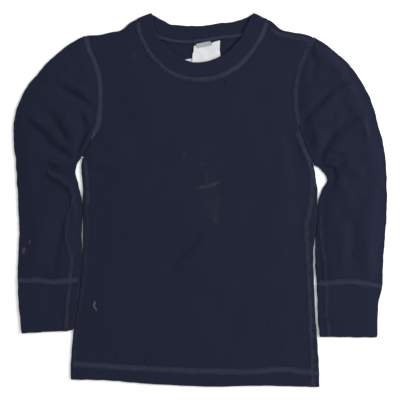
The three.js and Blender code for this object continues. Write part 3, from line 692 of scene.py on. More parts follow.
@dataclass
class BodyPlan:
    """Where a body panel lies: a grid between the hem, the sides, the armholes, the shoulders and the neck.

    Attributes:
        side_rows: Rows from the hem to the underarm.
        armhole_rows: Rows from the underarm to the shoulder.
        shoulder_columns: Columns along each shoulder.
        neck_columns: Columns along the neck.
        hem_shoulder_share: Share of the hem that the columns of one shoulder take.
        side_bend_power: How fast a side's bend dies out inwards.
        hem_steps: Steps of the hem's line.
    """

    side_rows: int = 128
    armhole_rows: int = 78
    shoulder_columns: int = 24
    neck_columns: int = 104
    hem_shoulder_share: float = 0.08
    side_bend_power: int = 4
    hem_steps: int = 400

    def armhole(self, cut: SleeveCut, sign: int) -> np.ndarray:
        """Armhole line of a panel, underarm to shoulder, a seam's gap from the sleeve."""
        return shifted(cut.armhole(self.armhole_rows), sign * SEAM_GAP)[::-1]

    def shoulder(self, rows: tuple, sign: int) -> np.ndarray:
        """Shoulder line where the flat layer ends, from the armhole to the neck."""
        return shifted(smooth_curve(rows, self.shoulder_columns), -sign * EDGE_INSET)

    def grid(self, from_outline: bool, neck: np.ndarray) -> np.ndarray:
        """Panel grid: straight from the hem to the top line, moved by each side's bend, which fades inwards.

        Args:
            from_outline: True for the back, whose flat part ends inside the outline; False for the front,
                which ends at the side seams.
            neck: Neck line from low to high x.

        Returns:
            Points of shape (rows, columns, 2), hem first.
        """
        top = np.concatenate([self.shoulder(RIGHT_SHOULDER, 1)[:-1], neck,
                              self.shoulder(LEFT_SHOULDER, -1)[::-1][1:]])
        sides = []
        for side, cut, corner in ((RIGHT_SIDE, RIGHT_SLEEVE, top[0]), (LEFT_SIDE, LEFT_SLEEVE, top[-1])):
            line = side.outline(self.side_rows) if from_outline else side.seam(self.side_rows)
            below = shifted(line, -side.sign * (EDGE_INSET if from_outline else SEAM_GAP))
            sides.append(np.concatenate([below, self.armhole(cut, side.sign)[1:-1], corner[None]]))
        left, right = sides
        share = self.hem_shares(len(top))
        hem = smooth_curve(HEM, self.hem_steps)
        x = left[0, 0] + share * (right[0, 0] - left[0, 0])
        lift = (left[0, 1] - HEM[0][1]) * (1 - share) + (right[0, 1] - HEM[-1][1]) * share
        bottom = np.stack([x, np.interp(x, hem[:, 0], hem[:, 1]) + lift], axis=1)
        v = np.linspace(0, 1, len(left))[:, None, None]
        u = np.linspace(0, 1, len(top))[None, :, None]
        left_bend = (left - (left[0] + (left[-1] - left[0]) * v[:, 0]))[:, None]
        right_bend = (right - (right[0] + (right[-1] - right[0]) * v[:, 0]))[:, None]
        power = self.side_bend_power
        return bottom * (1 - v) + top * v + left_bend * (1 - u) ** power + right_bend * u**power

    def hem_shares(self, count: int) -> np.ndarray:
        """How far along the hem each column starts; the shoulder columns share a narrow strip at each side.

        Args:
            count: Number of columns.

        Returns:
            Shares of the hem's length, one for each column.
        """
        stops = [0, self.shoulder_columns, count - 1 - self.shoulder_columns, count - 1]
        shares = [0, self.hem_shoulder_share, 1 - self.hem_shoulder_share, 1]
        return np.interp(np.arange(count), stops, shares)

    def curl(self, top_row: np.ndarray, upper: bool, steps: int = 4) -> np.ndarray:
        """Rows above the flat layer in which the shoulders turn towards the other layer.

        A row at angle a lies the turn radius times sin a outwards and the same times cos a from the middle.

        Args:
            top_row: Last row of the panel, shape (columns, 3).
            upper: True for the front, which turns down.
            steps: Number of rows.

        Returns:
            Rows of shape (steps, columns, 3).
        """
        count = len(top_row)
        outwards = np.zeros((count, 2))
        for part in (slice(0, self.shoulder_columns + 1), slice(count - 1 - self.shoulder_columns, count)):
            outwards[part] = leftwards(top_row[part, :2])
        angle = np.radians(SHOULDER_TURN) * np.arange(1, steps + 1) / steps
        middle = UNDER_LAYER + TURN_RADIUS
        rows = np.repeat(top_row[None], steps, axis=0)
        rows[..., :2] += outwards * (TURN_RADIUS * np.sin(angle))[:, None, None]
        rows[..., 2] = middle + (1 if upper else -1) * TURN_RADIUS * np.cos(angle)[:, None]
        return rows

    def shoulder_cells(self, rows: int, columns: int, panel_rows: int) -> np.ndarray:
        """Cells of a panel with its curled shoulder rows: above the panel, the shoulders alone are cloth.

        Args:
            rows: Rows of points, curled ones too.
            columns: Columns of points.
            panel_rows: Rows of points below the curled ones.

        Returns:
            Array (rows - 1, columns - 1) that says where cloth is.
        """
        cells = np.ones((rows - 1, columns - 1), bool)
        cells[panel_rows - 1:, self.shoulder_columns:columns - 1 - self.shoulder_columns] = False
        return cells


@dataclass
class FrontPanel:
    """The front, from side seam to side seam, with a doubled hem.

    Attributes:
        plan: Its grid.
        relief: How it stands off the back.
        hem_depth: Depth of the turned hem.
        hem_rise: How far the turned hem stands up.
        hem_softness: Half the width of the step at the hem's upper border.
        hem_hold: Distances from the hem between which folds grow to their full height.
        hem_share: Share of a fold's height that is left at the hem.
    """

    plan: BodyPlan = field(default_factory=BodyPlan)
    relief: Relief = Relief(crown=1.5, crown_reach=34, folds=BODY_FOLDS,
                            uneven=Undulation(0.22, 22, 80, seed=4))
    hem_depth: float = 16.5
    hem_rise: float = 0.55
    hem_softness: float = 0.8
    hem_hold: tuple = (2, 26)
    hem_share: float = 0.25

    def surface(self) -> Wall:
        """Middle surface of the front: the plan's grid at the upper layer, with its folds and its hem.

        Returns:
            The wall.
        """
        neck = shifted(smooth_curve(FRONT_NECK_SEAM, self.plan.neck_columns), -SEAM_GAP)
        grid = self.plan.grid(False, neck)
        outline = np.concatenate([grid[-1, ::3], grid[::3, 0], grid[::3, -1]])
        distance = edge_distance(grid, outline)
        from_hem = np.linalg.norm(grid - grid[:1], axis=-1)
        held = smoothstep(from_hem, *self.hem_hold) * (1 - self.hem_share) + self.hem_share
        border = smoothstep(from_hem, self.hem_depth - self.hem_softness, self.hem_depth + self.hem_softness)
        rise = self.relief.height(grid, distance) * held + self.hem_rise * (1 - border)
        points = np.concatenate([grid, (UPPER_LAYER + rise)[..., None]], axis=-1)
        rows = np.concatenate([points, self.plan.curl(points[-1], upper=True)])
        thickness = np.full(rows.shape[:2], CLOTH_WALL)
        thickness[:len(points)] = rounded(from_hem + CLOTH_LIP, CLOTH_WALL)
        cells = self.plan.shoulder_cells(*rows.shape[:2], len(points))
        return Wall(rows, rows[..., :2], cells, thickness)


@dataclass
class BackPanel:
    """The back, which lies on the floor and wraps round both sides to the side seams on top."""

    plan: BodyPlan = field(default_factory=lambda: BodyPlan(
        side_rows=64, armhole_rows=40, shoulder_columns=10, neck_columns=44))
    turn_steps: int = 6
    top_steps: int = 5

    def surface(self) -> Wall:
        """Middle surface of the back: a flat grid, half a turn at each side and a strip back to the seam.

        Returns:
            The wall.
        """
        neck = shifted(smooth_curve(BACK_NECK_SEAM, self.plan.neck_columns), -SEAM_GAP)
        grid = self.plan.grid(True, neck)
        points = np.concatenate([grid, np.full((*grid.shape[:2], 1), UNDER_LAYER)], axis=-1)
        rows = np.concatenate([points, self.plan.curl(points[-1], upper=False)])
        low = self.wrap(RIGHT_SIDE, rows[:, 0], len(rows))[:, ::-1]
        high = self.wrap(LEFT_SIDE, rows[:, -1], len(rows))
        whole = np.concatenate([low, rows, high], axis=1)
        cells = np.zeros((len(whole) - 1, whole.shape[1] - 1), bool)
        wide = low.shape[1]
        cells[:, wide:-wide] = self.plan.shoulder_cells(*rows.shape[:2], len(points))
        cells[:self.plan.side_rows, :wide] = True
        cells[:self.plan.side_rows, -wide:] = True
        from_hem = np.linalg.norm(whole - whole[:1], axis=-1)
        thickness = np.minimum(CLOTH_WALL, rounded(from_hem + CLOTH_LIP, CLOTH_WALL))
        return Wall(whole, whole[..., :2], cells, thickness)

    def wrap(self, side: SideEdge, start: np.ndarray, row_count: int) -> np.ndarray:
        """Columns from the flat part's side round the outline and along the top to the side seam.

        The turn's point at angle a lies the inset less the radius times sin a from the outline, at the middle
        plus the radius times cos a.

        Args:
            side: The side of the body.
            start: First column, shape (rows, 3), where the flat part ends.
            row_count: Rows of the panel; those above the underarm repeat the last one.

        Returns:
            Columns of shape (rows, steps, 3).
        """
        row = np.minimum(np.arange(row_count), self.plan.side_rows)
        edge = side.outline(self.plan.side_rows)[row]
        seam = side.seam(self.plan.side_rows)[row] - [side.sign * SEAM_GAP / 2, 0]
        inwards = start[:, :2] - edge
        inwards = inwards / np.linalg.norm(inwards, axis=1, keepdims=True)
        angle = math.pi * (1 - np.arange(1, self.turn_steps + 1) / self.turn_steps)
        reach = EDGE_INSET - TURN_RADIUS * np.sin(angle)
        turn = edge[:, None] + inwards[:, None] * reach[None, :, None]
        height = np.broadcast_to(UNDER_LAYER + TURN_RADIUS * (1 + np.cos(angle)), turn.shape[:2])
        turn = np.concatenate([turn, height[..., None]], axis=-1)
        t = (np.arange(1, self.top_steps + 1) / self.top_steps)[None, :, None]
        flat = turn[:, -1:, :2] * (1 - t) + seam[:, None] * t
        flat = np.concatenate([flat, np.full((*flat.shape[:2], 1), UPPER_LAYER)], axis=-1)
        return np.concatenate([turn, flat], axis=1)


@dataclass
class Tube:
    """A flattened tube of cloth: upper layer, turn at the outline, under layer, turn at the underarm edge.

    Attributes:
        out: Outline, one point per section.
        inner: Armhole or underarm edge, one point per section.
        open_rows: Sections before this one end at the armhole and have no turn there.
        wall: Thickness of the cloth.
        columns: Cells across the upper layer.
        under_columns: Cells across the under layer.
        turn_steps: Cells round each turn.
        end_reach: Length over which the upper layer comes down towards the last section.
    """

    out: np.ndarray
    inner: np.ndarray
    open_rows: int
    wall: float
    columns: int = 66
    under_columns: int = 18
    turn_steps: int = 6
    end_reach: float = 0.0

    def surface(self, relief: Relief) -> Wall:
        """Middle surface of the tube, section by section.

        A place on the upper layer lies a share of the flat width from the outline's turn. A turn's point at
        angle a lies the inset less the radius times sin a from the edge, at the middle plus the radius times
        cos a.

        Args:
            relief: How the upper layer stands off the under one.

        Returns:
            The wall, whose last column repeats the first.
        """
        under, inset = self.wall / 2, TURN_RADIUS + self.wall / 2
        across = self.inner - self.out
        width = np.linalg.norm(across, axis=1, keepdims=True)
        inwards = across / width
        opening = np.arange(len(self.out))[:, None] < self.open_rows
        inner_inset = np.where(opening, SEAM_GAP / 2, inset)
        flat = np.maximum(width - inset - inner_inset, 0)

        def layer(share: np.ndarray) -> tuple[np.ndarray, np.ndarray]:
            """Places at shares of the flat width from the outline's turn.

            Args:
                share: The shares, of shape (1, columns).

            Returns:
                Places (sections, columns, 2) and the distance of each from the nearer edge.
            """
            along = np.maximum(width - inner_inset - flat * share, inset)
            place = self.out[:, None] + inwards[:, None] * along[..., None]
            return place, np.minimum(along - inset, width - inner_inset - along)

        top, distance = layer(np.linspace(0, 1, self.columns + 1)[None])
        rise = relief.height(top, distance)
        if self.end_reach:
            to_end = np.linalg.norm(self.out - self.out[-1], axis=1)[:, None]
            rise = rise * smoothstep(to_end, -self.end_reach / 2, self.end_reach)
        top = np.concatenate([top, (under + 2 * TURN_RADIUS + rise)[..., None]], axis=-1)
        below, _ = layer(np.linspace(1, 0, self.under_columns + 1)[None])
        below = np.concatenate([below, np.full((*below.shape[:2], 1), under)], axis=-1)
        angle = math.pi * np.arange(1, self.turn_steps) / self.turn_steps
        outer_turn = self.turn(self.out, inwards, angle, inset, under)
        inner_turn = self.turn(self.inner, -inwards, angle[::-1], inset, under)
        rows = np.concatenate([top, outer_turn, below, inner_turn, top[:, :1]], axis=1)
        cells = np.ones((len(rows) - 1, rows.shape[1] - 1), bool)
        cells[:self.open_rows, self.columns + self.turn_steps + self.under_columns:] = False
        return Wall(rows, self.pattern(rows), cells, self.wall)

    @staticmethod
    def turn(edge: np.ndarray, inwards: np.ndarray, angle: np.ndarray, inset: float,
             under: float) -> np.ndarray:
        """Columns round a turned edge.

        Args:
            edge: Edge, one point per section.
            inwards: Unit directions away from the edge, one per section.
            angle: Angles from the upper layer.
            inset: Distance from the edge to the turn's start.
            under: Height of the under layer.

        Returns:
            Points of shape (sections, angles, 3).
        """
        place = edge[:, None] + inwards[:, None] * (inset - TURN_RADIUS * np.sin(angle))[None, :, None]
        height = np.broadcast_to(under + TURN_RADIUS * (1 + np.cos(angle)), place.shape[:2])
        return np.concatenate([place, height[..., None]], axis=-1)

    def pattern(self, rows: np.ndarray) -> np.ndarray:
        """Place on the knit: distance along the section, and length along the middle of the tube.

        Args:
            rows: Points of shape (sections, columns, 3).

        Returns:
            Array (sections, columns, 2).
        """
        steps = np.linalg.norm(np.diff(rows, axis=1), axis=-1)
        across = np.concatenate([np.zeros((len(rows), 1)), np.cumsum(steps, axis=1)], axis=1)
        middle = (self.out + self.inner) / 2
        lengths = np.linalg.norm(np.diff(middle, axis=0), axis=1)
        along = np.concatenate([[0], np.cumsum(lengths)])[:, None]
        return np.stack([across, np.broadcast_to(-along, across.shape)], axis=-1)


@dataclass
class Sleeve:
    """A set-in sleeve from the shoulder to the cuff seam, and its cuff.

    Attributes:
        cut: Its sections.
        folds: Its folds.
        seed: Seed of its unevenness; the cuff takes the next one.
        cap_rows: Sections from the shoulder to the underarm.
        tube_rows: Sections from the underarm to the cuff seam.
        cuff_rows: Sections of the cuff.
        cuff_columns: Cells across the cuff's upper layer.
        rib_pitch: Distance between neighbouring ribs.
        rib_depth: Height of a rib.
        lean: How far the underarm edge leans towards the body.
        lean_rise: Height above the garment's middle at which the lean begins.
        crown: Height of the upper layer's crown.
        crown_reach: Distance from the edge to the full crown.
        held_reach: Distance from the edge over which the edge holds the layer down.
        end_reach: Length over which the crown comes down towards the cuff.
        cuff_crown: Height of the cuff's crown.
        cuff_crown_reach: Distance from the edge to the cuff's full crown.
        wrist_power: How the cuff's sections crowd; below one, they crowd at the wrist.
    """

    cut: SleeveCut
    folds: tuple
    seed: int
    cap_rows: int = 104
    tube_rows: int = 112
    cuff_rows: int = 14
    cuff_columns: int = 170
    rib_pitch: float = 2.3
    rib_depth: float = 0.16
    lean: float = 0.65
    lean_rise: float = 20.0
    crown: float = 3.6
    crown_reach: float = 20.0
    held_reach: float = 6.0
    end_reach: float = 26.0
    cuff_crown: float = 0.5
    cuff_crown_reach: float = 24.0
    wrist_power: float = 0.8

    def leant(self, out: np.ndarray, inner: np.ndarray) -> tuple[np.ndarray, np.ndarray]:
        """Sections whose underarm edge lies against the body, by a lean that begins below the underarm."""
        across = (inner - out) / np.linalg.norm(inner - out, axis=1, keepdims=True)
        return out, inner + across * self.lean * smoothstep(-inner[:, 1:], -self.lean_rise, 0)

    def surface(self) -> Wall:
        """Middle surface of the sleeve.

        Returns:
            The wall.
        """
        cap_out, cap_in = self.cut.sections(self.cut.cap, self.cap_rows)
        tube_out, tube_in = self.leant(*self.cut.sections(self.cut.tube, self.tube_rows))
        out = np.concatenate([cap_out[:-1], tube_out])
        inner = np.concatenate([cap_in[:-1], tube_in])
        uneven = Undulation(0.3, 20, 60, self.seed)
        relief = Relief(self.crown, self.crown_reach, self.folds, uneven, self.held_reach)
        return Tube(out, inner, self.cap_rows, CLOTH_WALL, end_reach=self.end_reach).surface(relief)

    def cuff_surface(self) -> Wall:
        """Doubled cuff: a short tube whose ribs run towards the wrist, with a turned wrist edge.

        Returns:
            The wall.
        """
        out, inner = self.leant(*self.cut.sections(self.cut.cuff, self.cuff_rows))
        share = np.linspace(0, 1, self.cuff_rows + 1) ** self.wrist_power
        ease = [np.stack([np.interp(share, np.linspace(0, 1, len(line)), line[:, n]) for n in (0, 1)], axis=1)
                for line in (out, inner)]
        uneven = Undulation(0.12, 20, 60, self.seed + 1)
        relief = Relief(self.cuff_crown, self.cuff_crown_reach, (), uneven, self.held_reach)
        wall = Tube(*ease, 0, CUFF_WALL, self.cuff_columns, self.cuff_columns // 2).surface(relief)
        ribs = self.rib_depth * np.cos(2 * math.pi * wall.pattern[..., 0] / self.rib_pitch)
        to_wrist = np.linalg.norm(wall.points - wall.points[-1:], axis=-1)
        wall.thickness = np.minimum(CUFF_WALL + ribs, rounded(to_wrist + RIB_LIP, CUFF_WALL))
        return wall


@dataclass
class NeckBand:
    """Doubled ribbed band: one ring that lies in front, turns over at both collar ends and runs back behind.

    Attributes:
        front_steps: Sections in front.
        back_steps: Sections behind.
        turn_steps: Sections round each collar end, less one.
        rib_pitch: Distance between neighbouring ribs.
        rib_depth: Height of a rib.
        across_mm: Places across the band, from the seam to the free edge.
        uneven: Unevenness of the part in front.
    """

    front_steps: int = 560
    back_steps: int = 380
    turn_steps: int = 12
    rib_pitch: float = 2.3
    rib_depth: float = 0.17
    across_mm: tuple = (0, 2.5, 5, 8, 11, 14, 16.5, 18.4, 19.4, 19.9, 20.2)
    uneven: Undulation = Undulation(0.14, 22, 60, seed=12)

    def surface(self) -> Wall:
        """Middle surface: straight across from the seam to the free edge, half a turn at each collar end.

        Returns:
            The wall.
        """
        under = NECK_WALL / 2
        middle = under + NECK_TURN_RADIUS
        front_seam = smooth_curve(FRONT_NECK_SEAM, self.front_steps)
        front_edge = smooth_curve(FRONT_NECK_EDGE, self.front_steps)
        back_seam = smooth_curve(BACK_NECK_SEAM, self.back_steps)[::-1]
        back_edge = smooth_curve(BACK_NECK_EDGE, self.back_steps)[::-1]
        arch = BAND_ARCH * np.sin(np.linspace(0, math.pi, self.front_steps + 1)) ** 2
        angle = math.pi * np.arange(1, self.turn_steps) / self.turn_steps
        parts = [
            (front_seam, front_edge, middle + NECK_TURN_RADIUS + arch),
            self.turn(front_seam[-1], front_edge[-1], -1, angle, middle),
            (back_seam, back_edge, np.full(len(back_seam), under)),
            self.turn(front_seam[0], front_edge[0], 1, angle + math.pi, middle),
            (front_seam[:1], front_edge[:1], np.array([middle + NECK_TURN_RADIUS])),
        ]
        seam, edge, height = (np.concatenate([part[n] for part in parts]) for n in range(3))
        share = np.array(self.across_mm) / self.across_mm[-1]
        flat = seam[:, None] * (1 - share[:, None]) + edge[:, None] * share[:, None]
        rows = np.concatenate([flat, np.broadcast_to(height[:, None, None], (*flat.shape[:2], 1))], axis=-1)
        in_front = (np.arange(len(rows)) <= self.front_steps)[:, None]
        rows[..., 2] += np.where(in_front, np.abs(self.uneven.at(flat)), 0)
        centre = rows[:, len(share) // 2]
        around = np.concatenate([[0], np.cumsum(np.linalg.norm(np.diff(centre, axis=0), axis=1))])
        ribs = self.rib_depth * np.cos(2 * math.pi * around / self.rib_pitch)[:, None]
        to_edge = np.broadcast_to(self.across_mm[-1] - np.array(self.across_mm), rows.shape[:2])
        thickness = np.minimum(NECK_WALL + ribs, rounded(to_edge + RIB_LIP, NECK_WALL))
        pattern = np.stack(np.broadcast_arrays(around[:, None], np.array(self.across_mm)[None]), axis=-1)
        return Wall(rows, pattern, np.ones((len(rows) - 1, len(share) - 1), bool), thickness)

    @staticmethod
    def turn(seam: np.ndarray, edge: np.ndarray, sign: int, angle: np.ndarray, middle: float) -> tuple:
        """Sections round a collar end: each moves outwards by the radius times sin a, up by that times cos a.

        Args:
            seam: Last place on the seam.
            edge: Last place on the free edge.
            sign: 1 where outwards is to the left of the way from seam to edge, or -1.
            angle: Angles from the upper layer.
            middle: Height between the layers.

        Returns:
            Places on the seam, places on the edge and heights, one of each for every angle.
        """
        along = (edge - seam) / np.linalg.norm(edge - seam)
        outwards = np.array([-along[1], along[0]]) * sign
        reach = NECK_TURN_RADIUS * np.abs(np.sin(angle))[:, None] * outwards
        return seam + reach, edge + reach, middle + NECK_TURN_RADIUS * np.cos(angle)


@dataclass
class NeckLabel:
    """Blank woven label sewn into the back neck seam, its folded under corner, and the size tab on its top.

    Each tape is given by places (x, y) down its low and its high edge.

    Attributes:
        low, high: The label's edges.
        top_dip: How far its top edge dips.
        corner_low, corner_high: Edges of the folded corner.
        tab_low, tab_high: Edges of the size tab.
        layer, corner_layer, tab_layer: Heights of the three tapes.
        wall: Thickness of a tape.
        columns, rows: Cells across and down a tape.
        edge_lift: How far a tape's long edges lift.
        label_creases, corner_creases, tab_creases: Unevenness of the three tapes.
    """

    low: tuple = ((-7.4, 193.4), (-7.9, 186), (-9.5, 182.6), (-9.9, 176), (-10.6, 166), (-11, 158))
    high: tuple = ((24.6, 199.4), (25.0, 192), (25.1, 185), (25.4, 176), (26, 166), (26.4, 158))
    top_dip: float = 2.6
    corner_low: tuple = ((-18.4, 175.7), (-18.2, 175.0), (-17.6, 171), (-17, 167))
    corner_high: tuple = ((-8.0, 177.6), (-7, 175), (-7, 171), (-7, 167))
    tab_low: tuple = ((-5.4, 194.8), (-3.0, 189.9))
    tab_high: tuple = ((12.5, 199.0), (15.6, 194.4))
    layer: float = 2.1
    corner_layer: float = 1.75
    tab_layer: float = 2.9
    wall: float = 0.4
    columns: int = 56
    rows: int = 60
    edge_lift: float = 0.3
    label_creases: Undulation = Undulation(0.22, 9, 26, seed=51)
    corner_creases: Undulation = Undulation(0.1, 9, 20, seed=52)
    tab_creases: Undulation = Undulation(0.08, 8, 20, seed=53)

    def tape(self, low: tuple, high: tuple, layer: float, creases: Undulation, dip: float = 0.0) -> Wall:
        """A tape between two edges, uneven by its creases, with a top edge that dips between its corners.

        The dip is the square of a sine of the place across and dies out down the tape by a sixth power. The
        long edges lift by a fourth power of the distance from the middle.

        Args:
            low: Places down the low edge.
            high: Places down the high edge.
            layer: Height of the tape.
            creases: Its unevenness.
            dip: How far the top edge lies below a straight one, a third of the way across.

        Returns:
            The wall.
        """
        left = smooth_curve(low, self.rows)[:, None]
        right = smooth_curve(high, self.rows)[:, None]
        u = np.linspace(0, 1, self.columns + 1)[None, :, None]
        flat = left * (1 - u) + right * u
        fade = (1 - np.linspace(0, 1, self.rows + 1)[:, None]) ** 6
        flat[..., 1] -= dip * fade * np.sin(math.pi * u[..., 0] ** 0.6) ** 2
        edge = (2 * u[..., 0] - 1) ** 4 * self.edge_lift
        height = layer + creases.at(flat) + edge
        points = np.concatenate([flat, height[..., None]], axis=-1)
        return Wall(points, flat, np.ones((self.rows, self.columns), bool), self.wall)

    def label_solid(self) -> Solid:
        """The label and its folded under corner.

        Returns:
            The closed mesh of both.
        """
        label = self.tape(self.low, self.high, self.layer, self.label_creases, self.top_dip)
        corner = self.tape(self.corner_low, self.corner_high, self.corner_layer, self.corner_creases)
        return Solid.joined([label.solid(), corner.solid()])

    def tab_solid(self) -> Solid:
        """The size tab."""
        return self.tape(self.tab_low, self.tab_high, self.tab_layer, self.tab_creases).solid()


def evenly(line: np.ndarray, step: float) -> np.ndarray:
    """A line of points resampled at equal steps.

    Args:
        line: Points of shape (n, axes).
        step: Wanted length of a step; the true one divides the line's length evenly.

    Returns:
        Points of shape (m, axes).
    """
    passed = np.concatenate([[0], np.cumsum(np.linalg.norm(np.diff(line, axis=0), axis=1))])
    stops = np.linspace(0, passed[-1], max(2, int(round(passed[-1] / step)) + 1))
    return np.stack([np.interp(stops, passed, line[:, axis]) for axis in range(line.shape[1])], axis=1)


def thread(path: np.ndarray, radius: float, sides: int = 5) -> Solid:
    """A round thread along a path.

    A ring's point at angle a lies the radius times cos a to the side and the radius times sin a up.

    Args:
        path: Points of shape (n, 3).
        radius: Radius of the thread.
        sides: Points in a ring.

    Returns:
        The closed tube, with a flat cap at both ends.
    """
    along = directions(path)
    side = np.stack([-along[:, 1], along[:, 0], np.zeros(len(path))], axis=1)
    side /= np.maximum(np.linalg.norm(side, axis=1, keepdims=True), TINY)
    up = np.cross(along, side)
    angle = 2 * math.pi * np.arange(sides) / sides
    spokes = np.cos(angle)[:, None] * side[:, None] + np.sin(angle)[:, None] * up[:, None]
    rings = path[:, None] + radius * spokes
    ring = np.arange(sides)
    base = (np.arange(len(path) - 1) * sides)[:, None]
    a, b = base + ring, base + (ring + 1) % sides
    walls = np.concatenate([np.stack([a, b, b + sides], -1).reshape(-1, 3),
                            np.stack([a, b + sides, a + sides], -1).reshape(-1, 3)])
    last = (len(path) - 1) * sides
    fan = np.stack([np.zeros(sides - 2, int), ring[2:], ring[1:-1]], axis=1)
    triangles = np.concatenate([walls, fan, last + fan[:, ::-1]])
    length = np.repeat(np.arange(len(path)) * radius, sides)
    round_it = np.tile(ring * radius, len(path))
    return Solid(rings.reshape(-1, 3), triangles, np.stack([round_it, length], axis=1)[triangles])


@dataclass(frozen=True)
class Level:
    """Ground of one height, for seams on a layer that another layer covers in part."""

    height: float

    def at(self, spots: np.ndarray) -> np.ndarray:
        """The same height at each spot."""
        return np.full(spots.shape[:-1], self.height)


@dataclass(frozen=True)
class FlatSeam:
    """Overlapped cloth under a band of looper threads between rows of needle stitches.

    Attributes:
        line: Places (x, y) along its middle.
        width: Width of the band of threads.
        needles: Rows of straight stitches.
        loopers: Threads that cross from side to side.
        pitch: Length along the seam of one crossing and back.
        radius: Radius of the thread.
        bed: How far the overlapped cloth stands up under the threads.
        seed: Seed of the hand's unevenness.
        taper: Length over which the band narrows towards its lower end.
        low_share: Share of the width that is left at a tapered end.
        border: How far the bed reaches past the threads on each side.
        sink: How far the bed's borders sink into the cloth.
        bed_wall: Thickness of the bed.
        bed_step: Length of the bed's cells.
        bed_cells: Cells across the bed.
        needle_height, looper_height: Middle height of a thread in radii.
        needle_dip, looper_dip: How far it rises and dips in radii.
        sharpness: How sharply a looper turns at the borders; 1 is a true zigzag.
        slow_lengths: Lengths of the waves that make a looper uneven.
        hand_turn: How far they move a looper along, in radians of its crossing.
        hand_width: How far they move its turns sideways, as a share of the width.
    """

    line: np.ndarray
    width: float = 6.0
    needles: int = 4
    loopers: int = 2
    pitch: float = 2.6
    radius: float = 0.25
    bed: float = 0.35
    seed: int = 1
    taper: float = 0.0
    low_share: float = 0.3
    border: float = 1.0
    sink: float = 0.45
    bed_wall: float = 0.5
    bed_step: float = 1.6
    bed_cells: int = 8
    needle_height: float = 0.75
    needle_dip: float = 0.55
    looper_height: float = 1.1
    looper_dip: float = 0.3
    sharpness: float = 0.97
    slow_lengths: tuple = (11, 17, 29)
    hand_turn: float = 0.5
    hand_width: float = 0.04

    def share(self, along: np.ndarray) -> np.ndarray:
        """Share of the full width at each place: it grows by a smooth step from a tapered lower end.

        Args:
            along: Points (n, 2) on the seam's line.

        Returns:
            Array (n,) of shares.
        """
        if not self.taper:
            return np.ones(len(along))
        passed = np.concatenate([[0], np.cumsum(np.hypot(*np.diff(along, axis=0).T))])
        from_low = passed if along[0, 1] < along[-1, 1] else passed[-1] - passed
        return self.low_share + (1 - self.low_share) * smoothstep(from_low, 0, self.taper)

    def place(self, along: np.ndarray, across: np.ndarray, ground: HeightMap | Level) -> np.ndarray:
        """Points of the bed's upper face.

        The bed stands up by its height times one less the fourth power of the place across, and sinks into
        the cloth at both borders.

        Args:
            along: Points (n, 2) on the seam's line.
            across: Distances (n, m) to the left of the line.
            ground: What the seam lies on.

        Returns:
            Array (n, m, 3).
        """
        share = self.share(along)[:, None]
        spots = along[:, None] + leftwards(along)[:, None] * (across * share)[..., None]
        t = np.clip(np.abs(across) / (self.width / 2 + self.border), 0, 1)
        height = ground.at(spots) - self.sink + (self.bed * share + self.sink) * (1 - t**4)
        return np.concatenate([spots, height[..., None]], axis=-1)

    def bed_solid(self, ground: HeightMap | Level) -> Solid:
        """The bed: a thin strip of cloth.

        Args:
            ground: What the seam lies on.

        Returns:
            The closed mesh.
        """
        line = evenly(self.line, self.bed_step)
        across = np.linspace(-1, 1, self.bed_cells + 1) * (self.width / 2 + self.border)
        points = self.place(line, np.broadcast_to(across, (len(line), len(across))), ground)
        points[..., 2] -= self.bed_wall / 2
        passed = np.arange(len(line))[:, None] * self.bed_step
        pattern = np.stack(np.broadcast_arrays(across[None], passed), axis=-1)
        return Wall(points, pattern, np.ones((len(line) - 1, self.bed_cells), bool), self.bed_wall).solid()

    def threads(self, ground: HeightMap | Level) -> Solid:
        """Needle rows and loopers.

        A needle row dips by a cosine of the place along it. A looper lies at half the width times the arcsine
        of a sine, which is a zigzag; a slow sum of three sines makes it uneven.

        Args:
            ground: What the seam lies on.

        Returns:
            The closed mesh of all threads.
        """
        draw = np.random.default_rng(self.seed)
        made = []
        line = evenly(self.line, self.pitch / 4)
        along = np.arange(len(line)) * self.pitch / 4
        for across in np.linspace(-0.5, 0.5, self.needles) * self.width:
            path = self.place(line, np.full((len(line), 1), across), ground)[:, 0]
            wave = np.cos(2 * math.pi * along / self.pitch)
            path[:, 2] += self.radius * (self.needle_height + self.needle_dip * wave)
            made.append(thread(path, self.radius))
        line = evenly(self.line, self.pitch / 8)
        along = np.arange(len(line)) * self.pitch / 8
        for looper in range(self.loopers):
            waves = [np.sin(2 * math.pi * along / length + draw.uniform(0, 6))
                     for length in self.slow_lengths]
            slow = sum(waves) / len(waves)
            turn = 2 * math.pi * (along / self.pitch + looper / self.loopers / 2) + self.hand_turn * slow
            zigzag = np.arcsin(self.sharpness * np.sin(turn)) / np.arcsin(self.sharpness)
            across = self.width * (0.5 + self.hand_width * slow) * zigzag
            path = self.place(line, across[:, None], ground)[:, 0]
            path[:, 2] += self.radius * (self.looper_height + self.looper_dip * np.cos(2 * turn))
            made.append(thread(path, self.radius))
        return Solid.joined(made)


def between(line: np.ndarray, low: float = -math.inf, high: float = math.inf) -> np.ndarray:
    """The points of a line whose y lies between two values."""
    return line[(line[:, 1] > low) & (line[:, 1] < high)]


def parted(line: np.ndarray, low: float, high: float) -> np.ndarray:
    """The part of a line of points between two shares of its length."""
    even = evenly(line, 1.0)
    return even[int(low * (len(even) - 1)):int(high * (len(even) - 1)) + 1]


